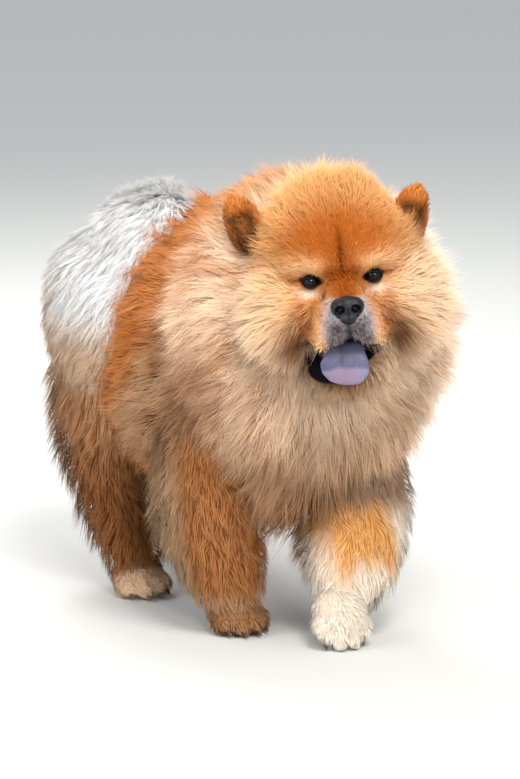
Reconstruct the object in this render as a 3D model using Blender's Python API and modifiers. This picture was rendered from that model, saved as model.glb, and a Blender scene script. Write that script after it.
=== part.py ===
"""A life-size chow chow, walking, with its head turned a little to its right and its tongue out.

Metres, +Z up. The dog faces -Y and its left side is at +X. The origin is on the floor under the
middle of the model. A node of coat is a smooth core with flat, tapered locks fused into it, and a
node that meets another is cut back by a copy of that other grown by the gap between them.
"""

import math
import random

import bmesh
import bpy
from mathutils import Euler, Matrix, Vector

SEED = 11
GAP = 0.0003                            # clearance that touching nodes keep
MIDDLE = Vector((-0.0185, 0.0815, 0))   # moves the dog so that the origin is under its middle

# The head, and the size and place of its parts in its own frame: x to its left, y back, z up,
# from the point midway between the eyes
EYES = Vector((-0.036, -0.362, 0.506))
HEAD_YAW = math.radians(31)             # turned towards the dog's right
HEAD_ROLL = math.radians(5.5)           # left side raised
HEAD_PITCH = math.radians(3)            # muzzle raised
EYE_SPACING = 0.082
EYE_RADIUS = 0.0112
NOSE = Vector((0.0, -0.078, -0.030))
EAR_REACH = 0.108                       # each ear's middle from the middle of both
EAR_SHIFT = -0.009                      # that middle from the midline
EAR_BACK = 0.070
EAR_LIFT = {-1: 0.076, 1: 0.067}        # the left ear is held a little lower
EAR_HEIGHT = 0.070
EAR_WIDTH = 0.052

# Shares of a lock's size
LOCK_THICKNESS = 0.30                   # of its width
LOCK_SINK = 0.28                        # of its length, below the surface
ROOT_DEPTH = 0.004                      # and so much deeper
# How far a grown lock moves, in gaps: its flat faces, its edges and its tip
FACE_GROWTH = 1.6
EDGE_GROWTH = 6.0
TIP_GROWTH = 9.0
# How much locks vary: their place along the form, their spacing, their size and their direction
PLACE_SPREAD = 0.02
SPACING_SPREAD = 0.11
SIZE_SPREAD = 0.1
SWAY_SPREAD = 0.12

# From a core to the tips of its locks
RUFF_COAT = 0.038
BODY_COAT = 0.032
TAIL_COAT = 0.015
LEG_COAT = 0.020
TAIL_CORE = 0.010                       # how far the tail's core stands out from its form
FEATHER_CLEARANCE = 0.004               # from the floor to the hair of the legs


def mix(a, b, share):
    return a + (b - a) * share


class Section:
    """One ring of a form: its centre and its reach to the sides, upwards and downwards."""

    def __init__(self, centre, wide, up, down=None):
        self.centre = Vector(centre)
        self.wide = wide
        self.up = up
        self.down = up if down is None else down


def through(a, b, c, d, t):
    """A smooth curve through b and c, at share t of the way between them."""
    return 0.5 * ((2 * b) + (c - a) * t + (2 * a - 5 * b + 4 * c - d) * t * t
                  + (3 * b - a - 3 * c + d) * t * t * t)


class Form:
    """A smooth closed form through sections along a path, for limbs, body, neck and tongue."""

    def __init__(self, sections, up=(0, 0, 1), power=2.2, taper=0.0):
        self.sections = sections
        self.up = Vector(up)
        self.power = power
        self.taper = taper               # how much narrower the top is than the bottom

    def at(self, place):
        """Centre, reaches and path direction at a place from 0 to 1 along the form."""
        last = len(self.sections) - 1
        first = min(int(place * last), last - 1)
        t = place * last - first
        near = [self.sections[max(0, min(last, first + k))] for k in (-1, 0, 1, 2)]
        centre = through(*[s.centre for s in near], t)
        sizes = [max(0.0005, through(*[getattr(s, k) for s in near], t)) for k in ("wide", "up", "down")]
        step = 0.02
        ahead = through(*[s.centre for s in near], t + step)
        behind = through(*[s.centre for s in near], t - step)
        return centre, sizes, (ahead - behind).normalized()

    def axes(self, along):
        side = along.cross(self.up).normalized()
        return side, side.cross(along).normalized()

    def point(self, place, angle, grow=0.0):
        """A point of the surface. Angle 0 is the side, and a quarter turn is up."""
        centre, (wide, up, down), along = self.at(place)
        side, top = self.axes(along)
        c, s = math.cos(angle), math.sin(angle)
        bend = 2 / self.power
        x = math.copysign(abs(c) ** bend, c) * (wide * (1 - self.taper * s) + grow)
        z = math.copysign(abs(s) ** bend, s) * ((up if s > 0 else down) + grow)
        return centre + side * x + top * z

    def normal(self, place, angle):
        step = 0.01
        place = min(max(place, step), 1 - step)
        along = self.point(place + step, angle) - self.point(place - step, angle)
        around = self.point(place, angle + step) - self.point(place, angle - step)
        out = along.cross(around).normalized()
        return out if out.dot(self.point(place, angle) - self.at(place)[0]) > 0 else -out

    def lie(self, place, angle, fall):
        """The way the hair lies: along the form towards its end, and falling by its weight."""
        step = 0.01
        out = self.normal(place, angle)
        run = (self.point(min(place + step, 1), angle) - self.point(max(place - step, 0), angle)).normalized()
        run = run * (1 - fall) + Vector((0, 0, -fall))
        return (run - out * run.dot(out)).normalized()

    def build(self, name, grow=0.0, rings=14, sides=20):
        places = [k / (rings - 1) for k in range(rings)]
        points, faces = [], []
        for place in places:
            for k in range(sides):
                points.append(self.point(place, 2 * math.pi * k / sides, grow))
        for r in range(rings - 1):
            for k in range(sides):
                a, b = r * sides + k, r * sides + (k + 1) % sides
                faces.append((a, b, b + sides, a + sides))
        for place, start, sign in ((0, 0, -1), (1, (rings - 1) * sides, 1)):
            centre, sizes, along = self.at(place)
            points.append(centre + along * sign * (grow + 0.3 * min(sizes)))
            tip = len(points) - 1
            faces += [(tip, start + k, start + (k + 1) % sides) for k in range(sides)]
        return object_from(name, points, faces)


def object_of(shape, name):
    """Makes an object from a bmesh, which is freed."""
    mesh = bpy.data.meshes.new(name)
    shape.to_mesh(mesh)
    shape.free()
    obj = bpy.data.objects.new(name, mesh)
    bpy.context.scene.collection.objects.link(obj)
    return obj


def object_from(name, points, faces):
    shape = bmesh.new()
    verts = [shape.verts.new(p) for p in points]
    for face in faces:
        shape.faces.new([verts[k] for k in face])
    bmesh.ops.recalc_face_normals(shape, faces=shape.faces)
    bmesh.ops.triangulate(shape, faces=shape.faces)
    return object_of(shape, name)


def lock(root, out, lie, length, width, lift, grow=0.0):
    """A flat lock of hair, tapered to its tip, that leaves the coat at a steep angle and bends over.

    Its section is a lens with four sides. Its root is sunk below the surface that it grows from.
    """
    side = out.cross(lie).normalized()
    thick = width * LOCK_THICKNESS
    steps = ((0.0, 0.60, 1.5), (0.36, 1.0, 1.1), (0.72, 0.72, 0.62), (1.0, 0.0, 0.35))
    here = root - (out * math.sin(lift) + lie * math.cos(lift)) * length * LOCK_SINK - out * ROOT_DEPTH
    points, faces, before = [], [], 0.0
    for share, fat, steep in steps:
        angle = lift * steep
        run = lie * math.cos(angle) + out * math.sin(angle)
        here = here + run * length * (1 + LOCK_SINK) * (share - before)
        before = share
        if fat == 0.0:
            points.append(here + run * grow * TIP_GROWTH)
            break
        top = run.cross(side).normalized()
        back = run * grow if share == 0 else Vector()
        reach = fat * width / 2 + grow * EDGE_GROWTH
        deep = fat * thick / 2 + grow * FACE_GROWTH
        points += [here - back + side * reach, here - back + top * deep,
                   here - back - side * reach, here - back - top * deep]
    rings = len(steps) - 1
    faces.append((3, 2, 1, 0))
    for r in range(rings - 1):
        faces += [(4 * r + k, 4 * r + (k + 1) % 4, 4 * r + 4 + (k + 1) % 4, 4 * r + 4 + k) for k in range(4)]
    tip = 4 * rings
    faces += [(tip - 4 + k, tip - 4 + (k + 1) % 4, tip) for k in range(4)]
    return object_from("lock", points, faces)


def coat(form, rows, length, width, reach, fall, number, grow=0.0, depth=0.0, keep=None, arc=(0, 360)):
    """Rows of locks over a form. A row is its place along the form, number of locks and their size.

    The arc is the part of the form's girth that they cover, in degrees from its side.
    """
    chance = random.Random(SEED + number)
    locks = []
    for row, (place, count, scale) in enumerate(rows):
        for k in range(count):
            here = place + chance.uniform(-PLACE_SPREAD, PLACE_SPREAD)
            share = (k + 0.5 * (row % 2) + chance.uniform(-SPACING_SPREAD, SPACING_SPREAD)) / count
            angle = math.radians(mix(arc[0], arc[1], share))
            size = scale * chance.uniform(1 - SIZE_SPREAD, 1 + SIZE_SPREAD)
            sway = chance.uniform(-SWAY_SPREAD, SWAY_SPREAD)
            root = form.point(here, angle, depth)
            out = form.normal(here, angle)
            if keep and not keep(root, out):
                continue
            lie = form.lie(here, angle, fall)
            lie = (lie + out.cross(lie) * sway).normalized()
            lift = math.asin(min(0.9, reach / length))
            wide = width * chance.uniform(1 - SIZE_SPREAD, 1 + SIZE_SPREAD)
            locks.append(lock(root, out, lie, length * size, wide, lift, grow))
    return locks


def blob(centre, radii, turn=(0, 0, 0), grow=0.0, place=None, rings=12):
    """An ellipsoid. Turn is in degrees, and place is the frame that the rest is in."""
    shape = bmesh.new()
    bmesh.ops.create_uvsphere(shape, u_segments=rings + 4, v_segments=rings, radius=1)
    reach = Matrix.Diagonal([r + grow for r in radii]).to_4x4()
    spin = Euler([math.radians(a) for a in turn]).to_matrix().to_4x4()
    where = (place or Matrix.Identity(4)) @ Matrix.Translation(centre) @ spin @ reach
    bmesh.ops.transform(shape, matrix=where, verts=shape.verts)
    return object_of(shape, "blob")


def outward(obj, by):
    """Moves a smooth surface out by a small distance."""
    slant = 1.3                          # a corner moves further than the faces that meet there
    normals = [Vector(n.vector) for n in obj.data.vertex_normals]
    for vert, normal in zip(obj.data.vertices, normals):
        vert.co += normal * by * slant
    return obj


def apply_modifiers(obj):
    graph = bpy.context.evaluated_depsgraph_get()
    mesh = bpy.data.meshes.new_from_object(obj.evaluated_get(graph))
    obj.modifiers.clear()
    obj.data = mesh
    return obj


def boolean(obj, others, operation):
    """Joins the others to obj, or cuts them from it, and removes them."""
    group = bpy.data.collections.new("pieces")
    bpy.context.scene.collection.children.link(group)
    for other in others:
        bpy.context.scene.collection.objects.unlink(other)
        group.objects.link(other)
    step = obj.modifiers.new("boolean", "BOOLEAN")
    step.operation = operation
    step.operand_type = "COLLECTION"
    step.collection = group
    step.solver = "MANIFOLD"
    apply_modifiers(obj)
    for other in others:
        bpy.data.objects.remove(other)
    bpy.data.collections.remove(group)
    return obj


def join(pieces):
    return boolean(pieces[0], pieces[1:], "UNION")


def cut(obj, cutters):
    return largest_surface(boolean(obj, cutters, "DIFFERENCE"))


def largest_surface(obj):
    """Keeps only the closed surface that has the most faces."""
    shape = bmesh.new()
    shape.from_mesh(obj.data)
    left, groups = set(shape.verts), []
    while left:
        group, edge_of = set(), [left.pop()]
        while edge_of:
            vert = edge_of.pop()
            group.add(vert)
            for edge in vert.link_edges:
                other = edge.other_vert(vert)
                if other in left:
                    left.discard(other)
                    edge_of.append(other)
        groups.append(group)
    groups.sort(key=len)
    for group in groups[:-1]:
        bmesh.ops.delete(shape, geom=list(group), context="VERTS")
    bmesh.ops.triangulate(shape, faces=shape.faces)
    shape.to_mesh(obj.data)
    shape.free()
    return obj


def soften(obj, voxel, rounds, triangles):
    """Melts joined pieces into one smooth surface of about so many triangles."""
    remesh = obj.modifiers.new("remesh", "REMESH")
    remesh.mode = "VOXEL"
    remesh.voxel_size = voxel
    smooth = obj.modifiers.new("smooth", "SMOOTH")
    smooth.iterations = rounds
    apply_modifiers(obj)
    fewer = obj.modifiers.new("fewer", "DECIMATE")
    fewer.ratio = triangles / (2 * len(obj.data.polygons))
    apply_modifiers(obj)
    return largest_surface(obj)


def finish(obj, name, colour, roughness=0.85):
    obj.name = name
    obj.data.name = name
    obj.data.transform(Matrix.Translation(MIDDLE))
    material = bpy.data.materials.get(colour[0]) or bpy.data.materials.new(colour[0])
    material.use_nodes = True
    shader = material.node_tree.nodes["Principled BSDF"]
    shader.inputs["Base Color"].default_value = (*colour[1], 1)
    shader.inputs["Roughness"].default_value = roughness
    shader.inputs["Metallic"].default_value = 0
    obj.data.materials.clear()
    obj.data.materials.append(material)
    obj.data.shade_smooth()
    obj.data.set_sharp_from_angle(angle=math.radians(40))
    return obj


RED = ("red coat", (0.62, 0.30, 0.12))
CREAM = ("cream coat", (0.80, 0.62, 0.42))
WHITE = ("white coat", (0.86, 0.80, 0.74))
DARK = ("dark ear coat", (0.35, 0.17, 0.08))
BLACK = ("black nose and lips", (0.02, 0.02, 0.025))
TONGUE = ("blue tongue", (0.24, 0.22, 0.34))
EYE = ("dark eye", (0.03, 0.015, 0.01))


def head_frame():
    return (Matrix.Translation(EYES) @ Matrix.Rotation(-HEAD_YAW, 4, "Z")
            @ Matrix.Rotation(-HEAD_PITCH, 4, "X") @ Matrix.Rotation(-HEAD_ROLL, 4, "Y"))


HEAD = head_frame()

# The body and neck: cores, from front to back
TORSO = Form([
    Section((0.012, -0.206, 0.270), 0.030, 0.030),
    Section((0.010, -0.192, 0.265), 0.104, 0.094, 0.110),
    Section((0.006, -0.140, 0.322), 0.143, 0.160, 0.196),
    Section((0, -0.080, 0.350), 0.154, 0.188, 0.204),
    Section((0, 0.040, 0.358), 0.148, 0.184, 0.184),
    Section((0, 0.130, 0.370), 0.142, 0.168, 0.160),
    Section((0, 0.190, 0.378), 0.120, 0.140, 0.130),
    Section((0, 0.222, 0.382), 0.075, 0.090, 0.080),
    Section((0, 0.235, 0.384), 0.015, 0.015),
])
RUFF = Form([
    Section((0.002, -0.268, 0.446), 0.045, 0.045, 0.066),
    Section((0.006, -0.259, 0.443), 0.102, 0.095, 0.122),
    Section((0.010, -0.240, 0.438), 0.152, 0.142, 0.164),
    Section((0.017, -0.210, 0.430), 0.179, 0.165, 0.174),
    Section((0.017, -0.172, 0.422), 0.173, 0.165, 0.168),
    Section((0.016, -0.142, 0.410), 0.142, 0.145, 0.146),
    Section((0.012, -0.115, 0.400), 0.086, 0.092, 0.096),
    Section((0.008, -0.105, 0.396), 0.020, 0.020),
], power=2.05, taper=0.07)


def mirrored(pairs):
    """Each (centre, radii, turn) and its mirror image across the head's midline."""
    out = []
    for centre, radii, turn in pairs:
        x, y, z = centre
        rx, ry, rz = turn
        out += [(centre, radii, turn), ((-x, y, z), radii, (rx, -ry, -rz))]
    return out


HEAD_MIDDLE = [
    ((0, 0.066, 0.030), (0.094, 0.094, 0.082), (0, 0, 0)),        # skull
    ((0, 0.016, 0.050), (0.062, 0.036, 0.046), (-20, 0, 0)),      # forehead
    ((0, -0.022, -0.024), (0.027, 0.046, 0.025), (16, 0, 0)),     # bridge
    ((0, -0.030, -0.044), (0.046, 0.044, 0.030), (0, 0, 0)),      # muzzle
    ((0, -0.062, -0.040), (0.027, 0.018, 0.024), (0, 0, 0)),      # seat of the nose
]
HEAD_SIDES = mirrored([
    ((0.036, 0.008, 0.028), (0.036, 0.026, 0.020), (0, 14, 0)),   # brow
    ((0.064, 0.046, -0.038), (0.052, 0.056, 0.062), (0, 0, 0)),   # cheek
    ((0.050, 0.012, -0.030), (0.032, 0.026, 0.028), (0, 0, 0)),   # under the eye
    ((0.027, -0.036, -0.062), (0.031, 0.040, 0.024), (0, 14, 0)), # upper lip
])
JAW = [
    ((0, -0.006, -0.106), (0.048, 0.050, 0.020), (10, 0, 0)),
    ((0, 0.034, -0.096), (0.058, 0.045, 0.032), (0, 0, 0)),
]


def eye(side, grow=0.0):
    """An eyeball: side is -1 for the right eye and 1 for the left."""
    return blob((side * EYE_SPACING / 2, 0.001, 0), [EYE_RADIUS] * 3, grow=grow, place=HEAD, rings=8)


def in_head(obj):
    obj.data.transform(HEAD)
    return obj


def lids(side):
    """The rims above and below one eye, each a tapered bar that arches over the eyeball."""
    pieces = []
    for top in (1, -1):
        rim = Form([
            Section((side * (EYE_SPACING / 2 - 0.0150), -0.0050, -0.0020), 0.0015, 0.0015),
            Section((side * (EYE_SPACING / 2 - 0.0070), -0.0105, top * 0.0062), 0.0034, 0.0034),
            Section((side * (EYE_SPACING / 2 + 0.0040), -0.0105, top * 0.0066 + 0.0006), 0.0034, 0.0034),
            Section((side * (EYE_SPACING / 2 + 0.0150), -0.0040, -0.0008), 0.0015, 0.0015),
        ], power=2)
        pieces.append(in_head(rim.build("lid", rings=5, sides=6)))
    return pieces


def nose(grow=0.0):
    """The nose leather with its two nostrils and the groove below."""
    body = join([
        blob(NOSE + Vector((0, 0.002, 0.002)), (0.0205, 0.0135, 0.0150), grow=grow, place=HEAD, rings=8),
        blob(NOSE + Vector((0, 0.003, -0.010)), (0.0120, 0.0110, 0.0110), grow=grow, place=HEAD, rings=6),
    ])
    if grow:
        return body
    holes = [blob(NOSE + Vector((side * 0.0098, -0.0120, 0.0005)), (0.0050, 0.0085, 0.0036),
                  turn=(0, side * 28, side * 18), place=HEAD, rings=6) for side in (-1, 1)]
    groove = blob(NOSE + Vector((0, -0.0120, -0.0125)), (0.0010, 0.0050, 0.0120), place=HEAD, rings=6)
    return cut(body, holes + [groove])


def jaw(grow=0.0):
    body = join([blob(c, r, t, grow=grow, place=HEAD, rings=8) for c, r, t in JAW])
    return body if grow else cut(body, [tongue(GAP)])


TONGUE_FORM = Form([
    Section((0, 0.024, -0.0800), 0.016, 0.005),
    Section((-0.001, -0.016, -0.0800), 0.026, 0.005),
    Section((-0.004, -0.050, -0.0810), 0.030, 0.005),
    Section((-0.007, -0.068, -0.0870), 0.032, 0.005),
    Section((-0.010, -0.076, -0.1010), 0.0315, 0.005),
    Section((-0.013, -0.077, -0.1150), 0.0265, 0.0045),
    Section((-0.014, -0.076, -0.1240), 0.014, 0.003),
], up=(0, -0.6, 0.8), power=2.6)


def tongue(grow=0.0):
    return outward(in_head(TONGUE_FORM.build("tongue", rings=10, sides=9)), grow)


EAR_FORM = Form([
    Section((0, 0.004, -0.55 * EAR_HEIGHT), 0.42 * EAR_WIDTH, 0.018),
    Section((0, 0.002, -0.30 * EAR_HEIGHT), 0.50 * EAR_WIDTH, 0.019),
    Section((0, 0.000, 0.00 * EAR_HEIGHT), 0.49 * EAR_WIDTH, 0.017),
    Section((0, -0.003, 0.28 * EAR_HEIGHT), 0.40 * EAR_WIDTH, 0.013),
    Section((0, -0.006, 0.45 * EAR_HEIGHT), 0.24 * EAR_WIDTH, 0.009),
    Section((0, -0.008, 0.52 * EAR_HEIGHT), 0.08 * EAR_WIDTH, 0.003),
], up=(0, 1, 0), power=2.0)


def ear(side, grow=0.0):
    """A small, thick, rounded ear, cupped to the front."""
    turn = Euler([math.radians(6), math.radians(side * 17), math.radians(side * 14)])
    middle = (EAR_SHIFT + side * EAR_REACH, EAR_BACK, EAR_LIFT[side])
    place = HEAD @ Matrix.Translation(middle) @ turn.to_matrix().to_4x4()
    body = EAR_FORM.build("ear", rings=7, sides=11)
    body.data.transform(place)
    if grow:
        return outward(body, grow)
    cup = blob((0, -0.020, -0.004), (0.019, 0.019, 0.029), place=place, rings=7)
    return cut(body, [cup])


def head_form():
    """The head without its openings, as one smooth surface."""
    body = join([blob(c, r, t, place=HEAD, rings=14) for c, r, t in HEAD_MIDDLE + HEAD_SIDES])
    return soften(body, 0.0045, 5, 800)


def head():
    body = join([head_form()] + lids(-1) + lids(1))
    mouth = blob((0, -0.045, -0.086), (0.062, 0.060, 0.013), place=HEAD, rings=9)
    cutters = [mouth, nose(GAP), tongue(GAP), jaw(GAP)]
    cutters += [eye(side, GAP) for side in (-1, 1)]
    cutters += [ear(side, GAP) for side in (-1, 1)]
    return cut(body, cutters)


def paw(place, grow=0.0):
    """A round, furry foot with four toes, its toes towards -Y."""
    pieces = [blob((0, 0.006, 0.022), (0.038, 0.040, 0.030), grow=grow, place=place, rings=5)]
    for x, y in ((-0.028, -0.012), (-0.010, -0.026), (0.010, -0.026), (0.028, -0.012)):
        pieces.append(blob((x, y, 0.016), (0.0145, 0.023, 0.0175), turn=(0, 0, -x * 400),
                           grow=grow, place=place, rings=4))
    return join(pieces)


def floor_cutter(top=0.0):
    """A block up to the floor, which leaves each paw a small flat to stand on."""
    size = 2.0
    shape = bmesh.new()
    bmesh.ops.create_cube(shape, size=size, matrix=Matrix.Translation((0, 0, top - size / 2)))
    return object_of(shape, "floor")


def paw_place(x, y, turn=0, tip=0, lift=0.0):
    """Where a paw stands: turned about Z, and tipped onto its toes, by degrees."""
    return (Matrix.Translation((x, y, lift)) @ Matrix.Rotation(math.radians(turn), 4, "Z")
            @ Matrix.Rotation(math.radians(tip), 4, "X"))


PAWS = {
    "paw_front_right": paw_place(-0.075, -0.172, turn=-6),
    "paw_front_left": paw_place(-0.001, -0.298, turn=-8, tip=48, lift=0.0275),
    "paw_hind_right": paw_place(-0.085, 0.062, turn=-5),
    "paw_hind_left": paw_place(0.090, 0.215, turn=4),
}
LEGS = {
    "leg_front_right": Form([
        Section((-0.100, -0.155, 0.330), 0.030, 0.035),
        Section((-0.103, -0.158, 0.290), 0.054, 0.058, 0.080),
        Section((-0.102, -0.162, 0.210), 0.056, 0.048, 0.098),
        Section((-0.097, -0.165, 0.140), 0.056, 0.046, 0.102),
        Section((-0.086, -0.167, 0.085), 0.048, 0.042, 0.085),
        Section((-0.078, -0.168, 0.050), 0.038, 0.034, 0.060),
        Section((-0.075, -0.168, 0.034), 0.018, 0.016, 0.026),
    ], up=(0, -1, 0)),
    "leg_front_left": Form([
        Section((0.112, -0.140, 0.330), 0.030, 0.035),
        Section((0.116, -0.162, 0.285), 0.058, 0.056, 0.066),
        Section((0.104, -0.198, 0.215), 0.062, 0.054, 0.072),
        Section((0.084, -0.236, 0.150), 0.070, 0.050, 0.074),
        Section((0.050, -0.263, 0.098), 0.064, 0.046, 0.062),
        Section((0.020, -0.282, 0.062), 0.042, 0.036, 0.042),
        Section((0.004, -0.290, 0.048), 0.014, 0.016),
    ], up=(0, -1, 0)),
    "leg_hind_right": Form([
        Section((-0.070, 0.105, 0.420), 0.030, 0.040),
        Section((-0.080, 0.108, 0.360), 0.070, 0.085, 0.088),
        Section((-0.092, 0.114, 0.280), 0.066, 0.085, 0.086),
        Section((-0.092, 0.118, 0.205), 0.056, 0.064, 0.076),
        Section((-0.088, 0.112, 0.130), 0.040, 0.042, 0.052),
        Section((-0.086, 0.092, 0.078), 0.034, 0.036, 0.040),
        Section((-0.085, 0.072, 0.045), 0.028, 0.030),
        Section((-0.085, 0.066, 0.030), 0.012, 0.014),
    ], up=(0, -1, 0)),
    "leg_hind_left": Form([
        Section((0.070, 0.120, 0.420), 0.030, 0.040),
        Section((0.083, 0.130, 0.360), 0.070, 0.085, 0.088),
        Section((0.096, 0.152, 0.280), 0.068, 0.082, 0.086),
        Section((0.095, 0.185, 0.200), 0.056, 0.062, 0.070),
        Section((0.092, 0.222, 0.130), 0.040, 0.042, 0.048),
        Section((0.091, 0.228, 0.078), 0.034, 0.036, 0.038),
        Section((0.090, 0.222, 0.045), 0.028, 0.030),
        Section((0.090, 0.218, 0.030), 0.012, 0.014),
    ], up=(0, -1, 0)),
}
# The tail: a thick root that rises from the rump, and the plume that falls from it on the right
TAIL = Form([
    Section((0.010, 0.215, 0.450), 0.020, 0.020),
    Section((0.004, 0.214, 0.475), 0.034, 0.028),
    Section((-0.012, 0.180, 0.502), 0.044, 0.026),
    Section((-0.034, 0.130, 0.514), 0.052, 0.026),
    Section((-0.052, 0.085, 0.510), 0.045, 0.025),
    Section((-0.060, 0.060, 0.504), 0.012, 0.012),
], up=(-0.30, 0.30, 0.90))
PLUME = Form([
    Section((-0.026, 0.080, 0.532), 0.030, 0.010),
    Section((-0.054, 0.076, 0.514), 0.080, 0.030),
    Section((-0.090, 0.074, 0.460), 0.104, 0.042),
    Section((-0.116, 0.090, 0.404), 0.102, 0.044),
    Section((-0.120, 0.124, 0.350), 0.080, 0.036),
    Section((-0.112, 0.148, 0.318), 0.046, 0.022),
    Section((-0.108, 0.154, 0.308), 0.010, 0.008),
], up=(-1, 0, 0))


def tail(grow=0.0):
    cores = [outward(TAIL.build("tail", TAIL_CORE, rings=6, sides=8), grow),
             outward(PLUME.build("plume", TAIL_CORE, rings=7, sides=10), grow)]
    locks = coat(TAIL, ((0.40, 4, 0.9), (0.70, 4, 0.9)), 0.085, 0.066, TAIL_COAT, 0.1, 20, grow, TAIL_CORE)
    locks += coat(PLUME, ((0.22, 5, 0.8), (0.42, 7, 0.9), (0.62, 7, 0.9), (0.82, 5, 0.7)), 0.086, 0.090,
                  TAIL_COAT, 0.1, 21, grow, TAIL_CORE, keep=lambda p, n: n.x < 0.3)
    return join(cores + locks)


def ruff(grow=0.0):
    core = outward(RUFF.build("ruff", 0, rings=9, sides=14), grow)
    rows = ((0.17, 7, 0.62), (0.29, 11, 0.72), (0.42, 12, 0.88), (0.56, 10, 0.92), (0.70, 6, 0.84))
    body = join([core] + coat(RUFF, rows, 0.100, 0.110, RUFF_COAT, 0.15, 1, grow))
    if grow:
        return body
    return cut(body, [outward(head_form(), GAP), jaw(GAP), ear(-1, GAP), ear(1, GAP)])


def covered(point):
    """Whether a point of the torso lies under the ruff, the top of a leg or the tail."""
    ruffed = point.y < -0.12 and point.z > 0.20
    legged = abs(point.x) > 0.06 and point.z < 0.30 and not -0.09 < point.y < 0.04
    tailed = point.x < -0.01 and point.y > 0.01 and point.z > 0.30
    return ruffed or legged or tailed


def torso(grow=0.0):
    core = outward(TORSO.build("torso", 0, rings=9, sides=14), grow)
    rows = ((0.34, 7, 0.9), (0.50, 8, 1), (0.67, 7, 1), (0.83, 5, 0.8))
    locks = coat(TORSO, rows, 0.100, 0.120, BODY_COAT, 0.3, 2, grow,
                 keep=lambda p, n: not covered(p))
    locks += coat(TORSO, ((0.13, 2, 1.0), (0.24, 3, 1.0)), 0.116, 0.085, BODY_COAT, 0.7, 3, grow, 0,
                  arc=(-128, -45))
    body = join([core] + locks)
    return body if grow else cut(body, [ruff(GAP), tail(GAP)])


FEATHERS = ((0.345, 4, 1), (0.525, 5, 1), (0.69, 4, 0.72))


def leg(name):
    form = LEGS[name]
    body = form.build(name, 0, rings=7, sides=9)
    number = 10 + sorted(LEGS).index(name)
    rows = FEATHERS if "front" in name else FEATHERS[:2]
    locks = coat(form, rows, 0.088, 0.082, LEG_COAT, 0.0, number,
                 keep=lambda p, n: n.y > 0.2 or abs(n.x) > 0.7)
    body = join([body] + locks)
    return cut(body, [torso(GAP), ruff(GAP), tail(GAP), paw(PAWS[name.replace("leg", "paw")], GAP),
                      floor_cutter(FEATHER_CLEARANCE)])


def clear_scene():
    for obj in list(bpy.data.objects):
        bpy.data.objects.remove(obj)


def main():
    clear_scene()
    finish(head(), "head", RED)
    finish(jaw(), "jaw", BLACK)
    finish(nose(), "nose", BLACK, 0.4)
    finish(tongue(), "tongue", TONGUE, 0.35)
    for side, word in ((-1, "right"), (1, "left")):
        finish(eye(side), "eye_" + word, EYE, 0.1)
        finish(ear(side), "ear_" + word, DARK)
    finish(ruff(), "ruff", CREAM)
    finish(torso(), "torso", RED)
    finish(tail(), "tail", WHITE)
    for name in LEGS:
        finish(leg(name), name, CREAM)
    for name, place in PAWS.items():
        finish(cut(paw(place), [floor_cutter()]), name, CREAM)


main()
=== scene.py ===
import math

import bmesh
import bpy
import numpy as np
from mathutils import Euler, Matrix, Vector
from mathutils.kdtree import KDTree


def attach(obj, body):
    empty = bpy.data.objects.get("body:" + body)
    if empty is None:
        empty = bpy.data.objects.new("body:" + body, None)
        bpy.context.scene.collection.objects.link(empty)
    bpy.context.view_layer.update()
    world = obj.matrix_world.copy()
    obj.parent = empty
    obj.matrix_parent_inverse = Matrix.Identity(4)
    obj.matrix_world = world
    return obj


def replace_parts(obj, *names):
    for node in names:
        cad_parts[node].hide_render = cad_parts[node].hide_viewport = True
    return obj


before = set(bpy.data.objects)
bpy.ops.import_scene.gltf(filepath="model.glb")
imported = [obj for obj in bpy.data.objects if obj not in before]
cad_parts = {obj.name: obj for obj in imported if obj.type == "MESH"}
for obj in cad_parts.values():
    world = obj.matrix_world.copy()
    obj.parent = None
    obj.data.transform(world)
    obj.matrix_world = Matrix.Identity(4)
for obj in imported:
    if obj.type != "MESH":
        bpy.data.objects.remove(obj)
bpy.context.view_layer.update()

# Metres, +Z up, the dog faces -Y and its left side is at +X. Named sizes are those of the solids.
SEED = 5
MIDDLE = np.array((-0.0185, 0.0815, 0.0))   # from the dog's own measures to the model's frame

EYES = Vector((-0.036, -0.362, 0.506))
HEAD_YAW = math.radians(31)
HEAD_ROLL = math.radians(5.5)
HEAD_PITCH = math.radians(3)
EYE_SPACING = 0.082
EYE_RADIUS = 0.0112
NOSE = Vector((0.0, -0.078, -0.030))
EAR_REACH = 0.108
EAR_BACK = 0.070
EAR_LIFT = {-1: 0.076, 1: 0.067}
EAR_HEIGHT = 0.070
EAR_WIDTH = 0.052
EAR_SHIFT = -0.009
EAR_TILT, EAR_LEAN, EAR_TURN = 6, 17, 14      # degrees

HEAD = (Matrix.Translation(EYES) @ Matrix.Rotation(-HEAD_YAW, 4, "Z")
        @ Matrix.Rotation(-HEAD_PITCH, 4, "X") @ Matrix.Rotation(-HEAD_ROLL, 4, "Y"))


def linear(r, g, b):
    """A colour given as 0 to 255 in sRGB, as the shader takes it."""
    c = np.array((r, g, b)) / 255
    return np.where(c < 0.04045, c / 12.92, ((c + 0.055) / 1.055) ** 2.4)


def smooth(low, high, x):
    """0 below the low limit, 1 above the high one, and a soft step between them."""
    t = np.clip((np.asarray(x) - low) / (high - low), 0, 1)
    return t * t * (3 - 2 * t)


def fade(low, high, x):
    """1 below the low limit, 0 above the high one, and a soft step between them."""
    return 1 - smooth(low, high, x)


def band(x, low, full, end, high):
    """1 between full and end, and fading to 0 down to low and up to high."""
    return smooth(low, full, x) * fade(end, high, x)


def bell(x, wide):
    """1 where x is 0, and falling softly on both sides of it."""
    return np.exp(-(x / wide) ** 2)


def spot(x, z, at_x, at_z, wide, high):
    """A soft round spot, 1 at its middle."""
    return np.exp(-((x - at_x) / wide) ** 2 - ((z - at_z) / high) ** 2)


def unit(v):
    """The vectors at length 1."""
    return v / np.maximum(np.linalg.norm(v, axis=-1, keepdims=True), 1e-9)


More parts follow.
